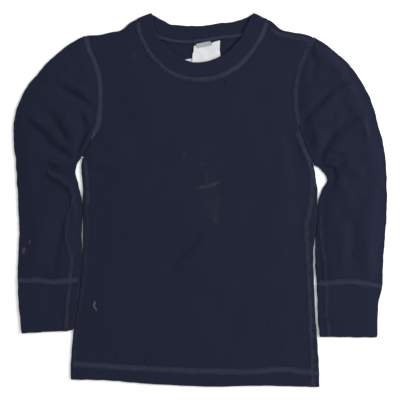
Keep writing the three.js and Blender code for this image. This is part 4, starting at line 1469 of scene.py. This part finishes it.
def garment_seams(plan: BodyPlan) -> dict:
    """Every seam that shows, in sewing order.

    Args:
        plan: Plan of the body, which gives the side seams.

    Returns:
        Name of the sub-assembly to its seams.
    """
    right_side = RIGHT_SIDE.seam(plan.side_rows)
    right_arm = RIGHT_SLEEVE.armhole(ARMHOLE_STEPS)
    left_arm = LEFT_SLEEVE.armhole(ARMHOLE_STEPS)
    left_side = smooth_curve(LEFT_SIDE_LINE, SEAM_STEPS)
    left_shoulder = smooth_curve(LEFT_SHOULDER_LINE, SHOULDER_SEAM_STEPS)
    underarm = smooth_curve(RIGHT_UNDERARM, SEAM_STEPS)
    left_underarm = smooth_curve(LEFT_UNDERARM, SEAM_STEPS)
    right_cuff = smooth_curve(RIGHT_CUFF_SEAM, CUFF_SEAM_STEPS)
    left_cuff = smooth_curve(LEFT_CUFF_SEAM, CUFF_SEAM_STEPS)
    neck = parted(smooth_curve(FRONT_NECK_SEAM, NECK_SEAM_STEPS), 0.012, 0.988)
    back_neck = smooth_curve(BACK_NECK_SEAM, SEAM_STEPS)
    return {
        "neck_seam": [FlatSeam(neck, 5.0, seed=2)],
        "back_neck_seam": [FlatSeam(parted(back_neck, 0.1, 0.9), 3.0, needles=3, bed=0.3, seed=12)],
        "armhole_seam_right": [FlatSeam(between(right_arm, low=75), 5.8, taper=16, seed=3)],
        "armhole_seam_left": [FlatSeam(between(left_arm, low=92), 6.0, taper=8, seed=13)],
        "side_seam_left": [FlatSeam(between(left_side, low=4), 6.2, needles=3, seed=4),
                           FlatSeam(between(left_side, high=6), 7.2, seed=14)],
        "shoulder_seam_left": [FlatSeam(left_shoulder, 4.2, needles=3, seed=11)],
        "side_seam_right": [FlatSeam(between(right_side, -6, 51), 5.0, seed=5)],
        "side_seam_right_low": [FlatSeam(between(right_side, high=-4), 2.8, needles=2, bed=0.15, seed=15)],
        "sleeve_seam_right": [FlatSeam(between(underarm, low=-64), 3.4, needles=2, bed=0.2, seed=6)],
        "sleeve_seam_right_low": [FlatSeam(between(underarm, high=-60), 4.8, needles=3, seed=16)],
        "sleeve_seam_left": [FlatSeam(left_underarm, 4.4, needles=3, bed=0.2, seed=7)],
        "cuff_seam_right": [FlatSeam(right_cuff, 6.2, seed=8)],
        "cuff_seam_left": [FlatSeam(left_cuff, 6.2, seed=9)],
        "hem_stitch": [FlatSeam(smooth_curve(HEM_STITCH, SEAM_STEPS), 6.4, bed=0.15, seed=10)],
    }


def underside_seams() -> dict:
    """Seams of the face that lies on the floor, whose threads stand out by a thread's radius.

    Returns:
        Name of the sub-assembly to its seam.
    """
    lines = {
        "back_armhole_right": RIGHT_SLEEVE.armhole(ARMHOLE_STEPS),
        "back_armhole_left": LEFT_SLEEVE.armhole(ARMHOLE_STEPS),
        "back_neck_outside": smooth_curve(BACK_NECK_SEAM, SEAM_STEPS),
        "back_cuff_right": smooth_curve(RIGHT_CUFF_SEAM, CUFF_SEAM_STEPS),
        "back_cuff_left": smooth_curve(LEFT_CUFF_SEAM, CUFF_SEAM_STEPS),
        "back_hem": smooth_curve(HEM_STITCH, SEAM_STEPS),
    }
    return {name: FlatSeam(parted(line, 0.01, 0.99), 6.4, needles=2, loopers=1, seed=40 + n)
            for n, (name, line) in enumerate(lines.items())}


# Seams whose threads show less than plainly
TONES = {
    "armhole_seam_left": ThreadTone.FAINT,
    "shoulder_seam_left": ThreadTone.FAINT,
    "side_seam_left": ThreadTone.FAINT,
    "side_seam_right": ThreadTone.FAINT,
    "sleeve_seam_right_low": ThreadTone.FAINT,
    "side_seam_right_low": ThreadTone.SUNK,
    "sleeve_seam_right": ThreadTone.SUNK,
    "sleeve_seam_left": ThreadTone.SUNK,
}


@dataclass(frozen=True)
class Signal:
    """An output socket of a shader node tree that Python's operators reckon with.

    Attributes:
        bench: Maker of the tree's nodes.
        socket: The output socket.
    """

    bench: "Bench"
    socket: bpy.types.NodeSocket

    def maths(self, operation: str, *values: "Signal | float") -> "Signal":
        """One Math node over the values, in order."""
        return self.bench.node("ShaderNodeMath", {"operation": operation}, dict(enumerate(values)))

    def __add__(self, other: "Signal | float") -> "Signal":
        """Sum."""
        return self.maths("ADD", self, other)

    def __sub__(self, other: "Signal | float") -> "Signal":
        """Difference."""
        return self.maths("SUBTRACT", self, other)

    def __rsub__(self, other: "Signal | float") -> "Signal":
        """Difference, from the right."""
        return self.maths("SUBTRACT", other, self)

    def __mul__(self, other: "Signal | float") -> "Signal":
        """Product."""
        return self.maths("MULTIPLY", self, other)

    __radd__ = __add__
    __rmul__ = __mul__

    def wave(self, length: float) -> "Signal":
        """Half of one plus the cosine of a full turn per length."""
        return self.maths("COSINE", self * (2 * math.pi / length)) * 0.5 + 0.5

    def step(self, low: float, high: float) -> "Signal":
        """Soft step from 0 at low to 1 at high."""
        return self.bench.node("ShaderNodeMapRange", {"interpolation_type": "SMOOTHSTEP"},
                               {"Value": self, "From Min": low, "From Max": high})


class Bench:
    """Makes the nodes of one material."""

    def __init__(self, name: str) -> None:
        """Starts a material with its usual shader.

        Args:
            name: Name of the material.
        """
        self.material = bpy.data.materials.new(name)
        self.material.use_nodes = True
        self.tree = self.material.node_tree
        self.shader = self.tree.nodes["Principled BSDF"]

    def node(self, kind: str, settings: dict | None = None, values: dict | None = None,
             output: int | str = 0) -> Signal:
        """Makes a node.

        Args:
            kind: Node type.
            settings: The node's own settings.
            values: Input socket name or number to a constant or a Signal.
            output: Output socket name or number to give back.

        Returns:
            The output as a Signal.
        """
        made = self.tree.nodes.new(kind)
        for key, value in (settings or {}).items():
            setattr(made, key, value)
        for key, value in (values or {}).items():
            self.feed(made.inputs[key], value)
        return Signal(self, made.outputs[output])

    def feed(self, socket: bpy.types.NodeSocket, value: "Signal | float | tuple") -> None:
        """Links a Signal to a socket or sets its constant.

        Args:
            socket: The input socket.
            value: The Signal, or the constant.
        """
        if isinstance(value, Signal):
            self.tree.links.new(value.socket, socket)
        else:
            socket.default_value = value

    def mix(self, factor: Signal | float, low: Signal | tuple, high: Signal | tuple) -> Signal:
        """Colour between low and high."""
        return self.node("ShaderNodeMix", {"data_type": "RGBA"}, {0: factor, 6: low, 7: high}, output=2)

    def noise(self, place: Signal, scale: float, detail: float) -> Signal:
        """Soft noise between 0 and 1, about scale bumps a metre."""
        return self.node("ShaderNodeTexNoise", None, {"Vector": place, "Scale": scale, "Detail": detail})

    def stretched(self, place: Signal, scale: tuple) -> Signal:
        """Place with each axis times its scale."""
        return self.node("ShaderNodeVectorMath", {"operation": "MULTIPLY"}, {0: place, 1: scale})

    def coordinates(self) -> tuple[Signal, Signal]:
        """Place in the object and place on the cloth's pattern, both in metres."""
        place = self.node("ShaderNodeTexCoord", output="Object")
        return place, self.node("ShaderNodeUVMap", {"uv_map": "cloth"})

    def axis(self, place: Signal, name: str) -> Signal:
        """One axis of a place."""
        return self.node("ShaderNodeSeparateXYZ", None, {0: place}, output=name)

    def finish(self, values: dict) -> bpy.types.Material:
        """Sets or links the shader's inputs.

        Args:
            values: Name of an input of the shader to a constant or a Signal.

        Returns:
            The finished material.
        """
        for key, value in values.items():
            self.feed(self.shader.inputs[key], value)
        return self.material

    def bump(self, height: Signal, distance: float) -> Signal:
        """Normal of a bump map; distance in metres."""
        return self.node("ShaderNodeBump", None, {"Height": height, "Distance": distance, "Strength": 1.0})

    def toned(self, colour: tuple, tone: Signal) -> Signal:
        """A screen colour, 0 to 255, times a tone."""
        return self.node("ShaderNodeVectorMath", {"operation": "SCALE"}, {0: linear(*colour)[:3], 3: tone})


def linear(red: float, green: float, blue: float) -> tuple:
    """Linear colour from a screen colour by the sRGB curve.

    Args:
        red, green, blue: Screen values, 0 to 255.

    Returns:
        The three linear values and full alpha.
    """
    def channel(value: float) -> float:
        """Linear value of one screen value."""
        v = value / 255
        return v / 12.92 if v <= 0.04045 else ((v + 0.055) / 1.055) ** 2.4
    return (channel(red), channel(green), channel(blue), 1.0)


MARK_BORDER = (1.45, 0.55)  # distances, in half sizes, at which a mark's share is nought and full


@dataclass(frozen=True)
class Mark:
    """A stain, speck or nick on the upper face, or a patch of painted shade.

    Attributes:
        place: Its middle (x, y) in mm.
        reach: Half sizes along and across it in mm.
        turn: Direction of its length, in degrees from x.
        colour: Screen colour, 0 to 255.
        strength: Share of that colour in its middle.
    """

    place: tuple
    reach: tuple
    turn: float
    colour: tuple
    strength: float

    def over(self, bench: "Bench", colour: Signal, place: Signal, ragged: Signal) -> Signal:
        """The colour with the mark on it: its share falls softly across a ragged border.

        Args:
            bench: Maker of nodes.
            colour: Colour under the mark.
            place: Place in the object.
            ragged: Noise for the border.

        Returns:
            The mixed colour.
        """
        x, y = ((value + shift) * MM for value, shift in zip(self.place, LAID_SHIFT))
        local = bench.node("ShaderNodeMapping", {"vector_type": "TEXTURE"}, {
            "Vector": place, "Location": (x, y, 0), "Rotation": (0, 0, math.radians(self.turn)),
            "Scale": (self.reach[0] * MM, self.reach[1] * MM, 1)})
        distance = bench.node("ShaderNodeVectorMath", {"operation": "LENGTH"}, {0: local}, output="Value")
        share = (distance + ragged).step(*MARK_BORDER) * self.strength
        return bench.mix(share, colour, linear(*self.colour))


# The first colour is painted shade: a darker navy that stands in for shade falling over broad patches of the
# chest.
PAINTED_SHADE = (31, 30, 42)
STAIN = (40, 40, 46)
PALE = (43, 44, 50)
THREAD_END = (92, 84, 90)
DUST = (60, 58, 60)
NICK = (9, 11, 19)
MARKS_AND_SHADE = (
    # The next two entries are painted shade: broad darker patches on the chest where shade falls, not stains.
    Mark((1, 40), (56, 24), 94, PAINTED_SHADE, 0.16),
    Mark((15, -6), (24, 9), 100, PAINTED_SHADE, 0.4),
    Mark((-20, 57), (3.2, 2), 80, STAIN, 0.36),
    Mark((3, 44), (3, 2), 60, STAIN, 0.36),
    Mark((5, 16.4), (7, 2.2), 8, PALE, 0.5),
    Mark((17.5, 19.6), (7, 2.4), 24, PALE, 0.55),
    Mark((8.4, 27), (8, 1.8), 94, STAIN, 0.3),
    Mark((21, -10), (12, 2.2), 80, STAIN, 0.2),
    Mark((20, -25), (4, 2.6), 90, STAIN, 0.36),
    Mark((-131.9, -129.6), (3.6, 1.1), 73, THREAD_END, 0.62),
    Mark((-130.9, -134.8), (3.9, 1), 122, THREAD_END, 0.55),
    Mark((-212.5, -52.5), (3, 1.6), 70, DUST, 0.7),
    Mark((-220, -63), (3.6, 1.8), 80, DUST, 0.8),
    Mark((-83, 180), (1.2, 1.1), 0, DUST, 0.35),
    Mark((15.6, 215), (1.4, 1), 20, DUST, 0.6),
    Mark((-201, 98), (1.6, 1), 0, DUST, 0.35),
    Mark((30.5, 147), (4, 0.9), 92, NICK, 0.7),
    Mark((-87, 108), (3.6, 0.9), 88, NICK, 0.6),
    Mark((190.6, -66), (5, 1), 86, NICK, 0.7),
    Mark((83.8, -153), (4, 0.9), 90, NICK, 0.6),
    Mark((-69.5, -200), (4, 0.9), 90, NICK, 0.7),
    Mark((-104.6, -196), (3.6, 0.9), 88, NICK, 0.6),
    Mark((3, -191), (3.4, 0.9), 90, NICK, 0.6),
    Mark((17, -228), (3, 0.9), 84, NICK, 0.6),
)


@dataclass(frozen=True)
class KnitFinish:
    """Dyed knitted cloth.

    Attributes:
        name: Name of the material.
        colour: Screen colour of the yarn, 0 to 255.
        wale: Width of a rib or wale in metres.
        depth: Depth of the knit's relief in metres.
        sheen: Weight of the fibre sheen.
        patchy: How far the tone changes every few millimetres.
        marks_and_shade: Stains and specks, and broad patches of painted shade.
        dark: Tone where every noise is at nought.
        fuzzy, cloudy, streaky: How far the tone changes with the fibres, with washing and along the wales.
        fuzz_scale, cloud_scale, patch_scale, ragged_scale: Bumps a metre of each noise.
        streak_scale: Streaks a metre across and along the cloth.
        rib_share, course_share, fuzz_share: Shares of wales, courses and fibres in the relief.
    """

    name: str
    colour: tuple
    wale: float
    depth: float
    sheen: float = 0.04
    patchy: float = 0.22
    marks_and_shade: tuple = ()
    dark: float = 0.72
    fuzzy: float = 0.16
    cloudy: float = 0.22
    streaky: float = 0.14
    fuzz_scale: float = 900
    cloud_scale: float = 26
    patch_scale: float = 190
    ragged_scale: float = 420
    streak_scale: tuple = (520, 22, 1)
    rib_share: float = 0.6
    course_share: float = 0.3
    fuzz_share: float = 0.5

    def material(self) -> bpy.types.Material:
        """Wales and courses as a bump, washed out mottling and fine fuzz in the colour, with stains, specks
        and painted shade laid over it.

        A course lies 0.8 of a wale from the next and slants by half its place across.

        Returns:
            The material.
        """
        bench = Bench(self.name)
        place, cloth = bench.coordinates()
        across = bench.axis(cloth, "X")
        along = bench.axis(cloth, "Y")
        wales = across.wave(self.wale)
        courses = (along + across * 0.5).wave(self.wale * 0.8)
        fuzz = bench.noise(place, self.fuzz_scale, 3)
        clouds = bench.noise(place, self.cloud_scale, 3)
        streaks = bench.noise(bench.stretched(cloth, self.streak_scale), 1.0, 2)
        patches = bench.noise(place, self.patch_scale, 2)
        tone = self.dark + fuzz * self.fuzzy + clouds * self.cloudy + streaks * self.streaky
        tone = tone + (patches - 0.5) * self.patchy
        colour = bench.toned(self.colour, tone)
        ragged = bench.noise(place, self.ragged_scale, 3) - 0.5
        # Stains, specks and the patches of painted shade go on the colour here.
        for mark in self.marks_and_shade:
            colour = mark.over(bench, colour, place, ragged)
        relief = wales * self.rib_share + courses * self.course_share + fuzz * self.fuzz_share
        return bench.finish({
            "Base Color": colour, "Roughness": 0.95, "Sheen Weight": self.sheen, "Sheen Roughness": 0.6,
            "Specular IOR Level": 0.05, "Normal": bench.bump(relief, self.depth)})


@dataclass(frozen=True)
class TapeFinish:
    """Woven tape.

    Attributes:
        name: Name of the material.
        colour: Screen colour of the yarn, 0 to 255.
        yarn: Distance between neighbouring yarns in metres.
        worn: How far the tone changes with wear.
        slubby: How far it changes with uneven yarns.
        woven: How far it changes from yarn to yarn.
        patch_scale: Patches a metre.
        slub_scale: Slubs a metre across and along the tape.
        depth: Depth of the weave's relief in metres.
    """

    name: str
    colour: tuple
    yarn: float
    worn: float
    slubby: float = 0.12
    woven: float = 0.08
    patch_scale: float = 150
    slub_scale: tuple = (260, 2400, 1)
    depth: float = 0.00005

    def material(self) -> bpy.types.Material:
        """Plain weave as a bump, with washed out patches and slubs in the colour.

        The weft lies 1.3 times as far apart as the warp.

        Returns:
            The material.
        """
        bench = Bench(self.name)
        place, cloth = bench.coordinates()
        warp = bench.axis(cloth, "X").wave(self.yarn)
        weft = bench.axis(cloth, "Y").wave(self.yarn * 1.3)
        patches = bench.noise(place, self.patch_scale, 3) - 0.5
        slubs = bench.noise(bench.stretched(cloth, self.slub_scale), 1.0, 2) - 0.5
        tone = 1.0 + patches * self.worn + slubs * self.slubby + (warp * weft - 0.25) * self.woven
        return bench.finish({
            "Base Color": bench.toned(self.colour, tone), "Roughness": 0.62, "Specular IOR Level": 0.3,
            "Normal": bench.bump(warp + weft + slubs, self.depth)})


@dataclass
class Studio:
    """Pale floor, camera straight above, one large soft lamp and a white surround.

    Attributes:
        floor_size: Side of the floor in metres.
        floor_white: Whiteness of the floor, 0 to 1.
        camera_height: Height of the camera over the upper layer in metres.
        lens: Focal length in mm.
        sensor: Width of the sensor in mm.
        key_place: Place of the lamp in metres.
        key_size: Side of the lamp in metres.
        key_power: Power of the lamp in watts.
        surround_strength: Strength of the white light from all sides.
    """

    floor_size: float = 6.0
    floor_white: float = 0.93
    camera_height: float = 1.1806
    lens: float = 85.0
    sensor: float = 36.0
    key_place: tuple = (1.35, 0.35, 1.1)
    key_size: float = 1.0
    key_power: float = 38.0
    surround_strength: float = 0.84

    def build(self) -> None:
        """Makes the stage."""
        self.floor()
        self.camera()
        self.lamp()
        self.surround()
        bpy.context.scene.view_settings.view_transform = "Standard"

    def floor(self) -> None:
        """A wide plain floor at the height of the garment's underside."""
        half = self.floor_size / 2
        mesh = bpy.data.meshes.new("floor")
        mesh.from_pydata([(-half, -half, 0), (half, -half, 0), (half, half, 0), (-half, half, 0)], [],
                         [(0, 1, 2, 3)])
        floor = bpy.data.objects.new("floor", mesh)
        bench = Bench("floor_paper")
        paper = (self.floor_white, self.floor_white, self.floor_white, 1)
        floor.data.materials.append(bench.finish({"Base Color": paper, "Roughness": 0.9}))
        bpy.context.scene.collection.objects.link(floor)

    def camera(self) -> None:
        """A camera that looks straight down on the middle."""
        data = bpy.data.cameras.new("camera")
        data.lens = self.lens
        data.sensor_width = self.sensor
        camera = bpy.data.objects.new("camera", data)
        camera.location = (LAID_SHIFT[0] * MM, LAID_SHIFT[1] * MM, self.camera_height + UPPER_LAYER * MM)
        bpy.context.scene.collection.objects.link(camera)
        bpy.context.scene.camera = camera

    def lamp(self) -> None:
        """A square area lamp that points at the garment's middle."""
        x, y, z = self.key_place
        data = bpy.data.lights.new("key", "AREA")
        data.size = self.key_size
        data.energy = self.key_power
        lamp = bpy.data.objects.new("key", data)
        lamp.location = self.key_place
        lamp.rotation_euler = (math.atan2(math.hypot(x, y), z), 0, math.atan2(x, -y))
        bpy.context.scene.collection.objects.link(lamp)

    def surround(self) -> None:
        """White light from all sides."""
        world = bpy.data.worlds.new("surround")
        world.use_nodes = True
        background = world.node_tree.nodes["Background"]
        background.inputs["Color"].default_value = (1, 1, 1, 1)
        background.inputs["Strength"].default_value = self.surround_strength
        bpy.context.scene.world = world


@dataclass(frozen=True)
class Cut:
    """Flat size that a piece of cloth was cut to, all round where it is a tube.

    Attributes:
        width: Width in metres.
        length: Length in metres.
        area: Area in square metres.
        lies_on: What it lies on.
        trims: Sub-assemblies sewn on it.
    """

    width: float
    length: float
    area: float
    lies_on: tuple
    trims: tuple

    def declare(self, piece: bpy.types.Object) -> None:
        """Gathers the seams and tapes sewn on a piece and what it lies on, but states and keeps nothing.

        Args:
            piece: The piece of cloth; not used.
        """
        sewn = [made for made in bpy.data.objects if made.name.rsplit("_", 1)[0] in self.trims]
        list(self.lies_on)


CUTS = {
    "back_cloth": Cut(0.334, 0.459, 0.128, ("floor",), (
        "back_neck_seam", "back_neck_outside", "back_armhole_right", "back_armhole_left", "back_hem")),
    "front_cloth": Cut(0.300, 0.460, 0.114, ("back_cloth",), (
        "side_seam_left", "side_seam_right", "side_seam_right_low", "shoulder_seam_left", "hem_stitch")),
    "sleeve_cloth_right": Cut(0.205, 0.345, 0.0497, ("floor",), (
        "armhole_seam_right", "sleeve_seam_right", "sleeve_seam_right_low")),
    "sleeve_cloth_left": Cut(0.205, 0.345, 0.0518, ("floor",), ("armhole_seam_left", "sleeve_seam_left")),
    "cuff_rib_right": Cut(0.156, 0.067, 0.0095, ("floor",), ("cuff_seam_right", "back_cuff_right")),
    "cuff_rib_left": Cut(0.160, 0.067, 0.0100, ("floor",), ("cuff_seam_left", "back_cuff_left")),
    "neck_rib": Cut(0.430, 0.021, 0.0083, ("back_cloth", "front_cloth"), ("neck_seam",)),
    "label_tape": Cut(0.038, 0.041, 0.00145, ("back_cloth",), ("tab",)),
}


def dress(piece: bpy.types.Object, material: bpy.types.Material, slot: Slot, nodes: tuple = ()) -> None:
    """Gives a piece its material and its body, hides the solids that it stands for and logs its triangles.

    Args:
        piece: The piece.
        material: Its material.
        slot: Its colour slot; not used.
        nodes: Names of the solids.
    """
    piece.data.materials.append(material)
    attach(piece, BODY)
    if nodes:
        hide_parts(*nodes)
    log.info("%s: %d triangles", piece.name, len(piece.data.polygons))


# Screen colours, 0 to 255
NAVY = (21.2, 25, 41.2)
PLAIN_THREAD = (47, 50.5, 69)
FAINT_THREAD = (39, 42.5, 59)
SUNK_THREAD = (35, 38, 55)
LABEL_WHITE = (184, 185, 186)
TAB_GREY = (138, 140, 142)

# Yarn and relief in metres
WALE = 0.0011
KNIT_DEPTH = 0.00012
THREAD_PLY = 0.0006
THREAD_DEPTH = 0.0001
TAPE_YARN = 0.0005


def thread_finish(name: str, colour: tuple, patchy: float) -> bpy.types.Material:
    """Sewing thread of a colour; the more patchy it is, the more of its loops are lost in the cloth."""
    return KnitFinish(name, colour, THREAD_PLY, THREAD_DEPTH, patchy=patchy).material()


def main() -> None:
    """Builds the garment's pieces in sewing order, then the stage."""
    knit = KnitFinish("navy_knit", NAVY, WALE, KNIT_DEPTH, marks_and_shade=MARKS_AND_SHADE).material()
    rib = KnitFinish("navy_rib", NAVY, WALE, KNIT_DEPTH).material()
    threads_of = {
        ThreadTone.PLAIN: thread_finish("sewing_thread", PLAIN_THREAD, 0.9),
        ThreadTone.FAINT: thread_finish("faint_thread", FAINT_THREAD, 1.3),
        ThreadTone.SUNK: thread_finish("sunk_thread", SUNK_THREAD, 1.7),
    }
    plain = TapeFinish("white_label", LABEL_WHITE, TAPE_YARN, worn=0.22).material()
    grey = TapeFinish("grey_tab", TAB_GREY, TAPE_YARN, worn=0.3).material()
    ground = HeightMap()
    walls = {"back_cloth": (BackPanel().surface(), knit, Slot.KNIT, "back_panel"),
             "front_cloth": (FrontPanel().surface(), knit, Slot.KNIT, "front_panel")}
    for side, cut, folds, seed in (("right", RIGHT_SLEEVE, RIGHT_SLEEVE_FOLDS, 21),
                                   ("left", LEFT_SLEEVE, LEFT_SLEEVE_FOLDS, 31)):
        sleeve = Sleeve(cut, folds, seed)
        walls[f"sleeve_cloth_{side}"] = (sleeve.surface(), knit, Slot.KNIT, f"sleeve_{side}")
        walls[f"cuff_rib_{side}"] = (sleeve.cuff_surface(), rib, Slot.RIB, f"cuff_{side}")
    walls["neck_rib"] = (NeckBand().surface(), rib, Slot.RIB, "neckband")
    for name, (wall, material, slot, node) in walls.items():
        dress(wall.solid().build(name), material, slot, (node,))
        ground.add(wall)
    ground.soften()
    for name, seams in garment_seams(BodyPlan()).items():
        lies_on = Level(BACK_SEAM_LEVEL) if name == "back_neck_seam" else ground
        beds = Solid.joined([seam.bed_solid(lies_on) for seam in seams])
        dress(beds.build(f"{name}_bed"), knit, Slot.KNIT)
        threads = Solid.joined([seam.threads(lies_on) for seam in seams])
        dress(threads.build(f"{name}_threads"), threads_of[TONES.get(name, ThreadTone.PLAIN)], Slot.KNIT)
    for name, seam in underside_seams().items():
        dress(seam.threads(Level(UNDERSIDE_LEVEL)).flipped().build(f"{name}_threads"),
              threads_of[ThreadTone.FAINT], Slot.KNIT)
    label = NeckLabel()
    dress(label.label_solid().build("label_tape"), plain, Slot.LABEL, ("neck_label",))
    dress(label.tab_solid().build("tab_tape"), grey, Slot.TAB, ("size_tab",))
    Studio().build()
    for name, cut in CUTS.items():
        cut.declare(bpy.data.objects[name])


if __name__ == "__main__":
    logging.basicConfig(level=logging.INFO, format="%(message)s")
    main()
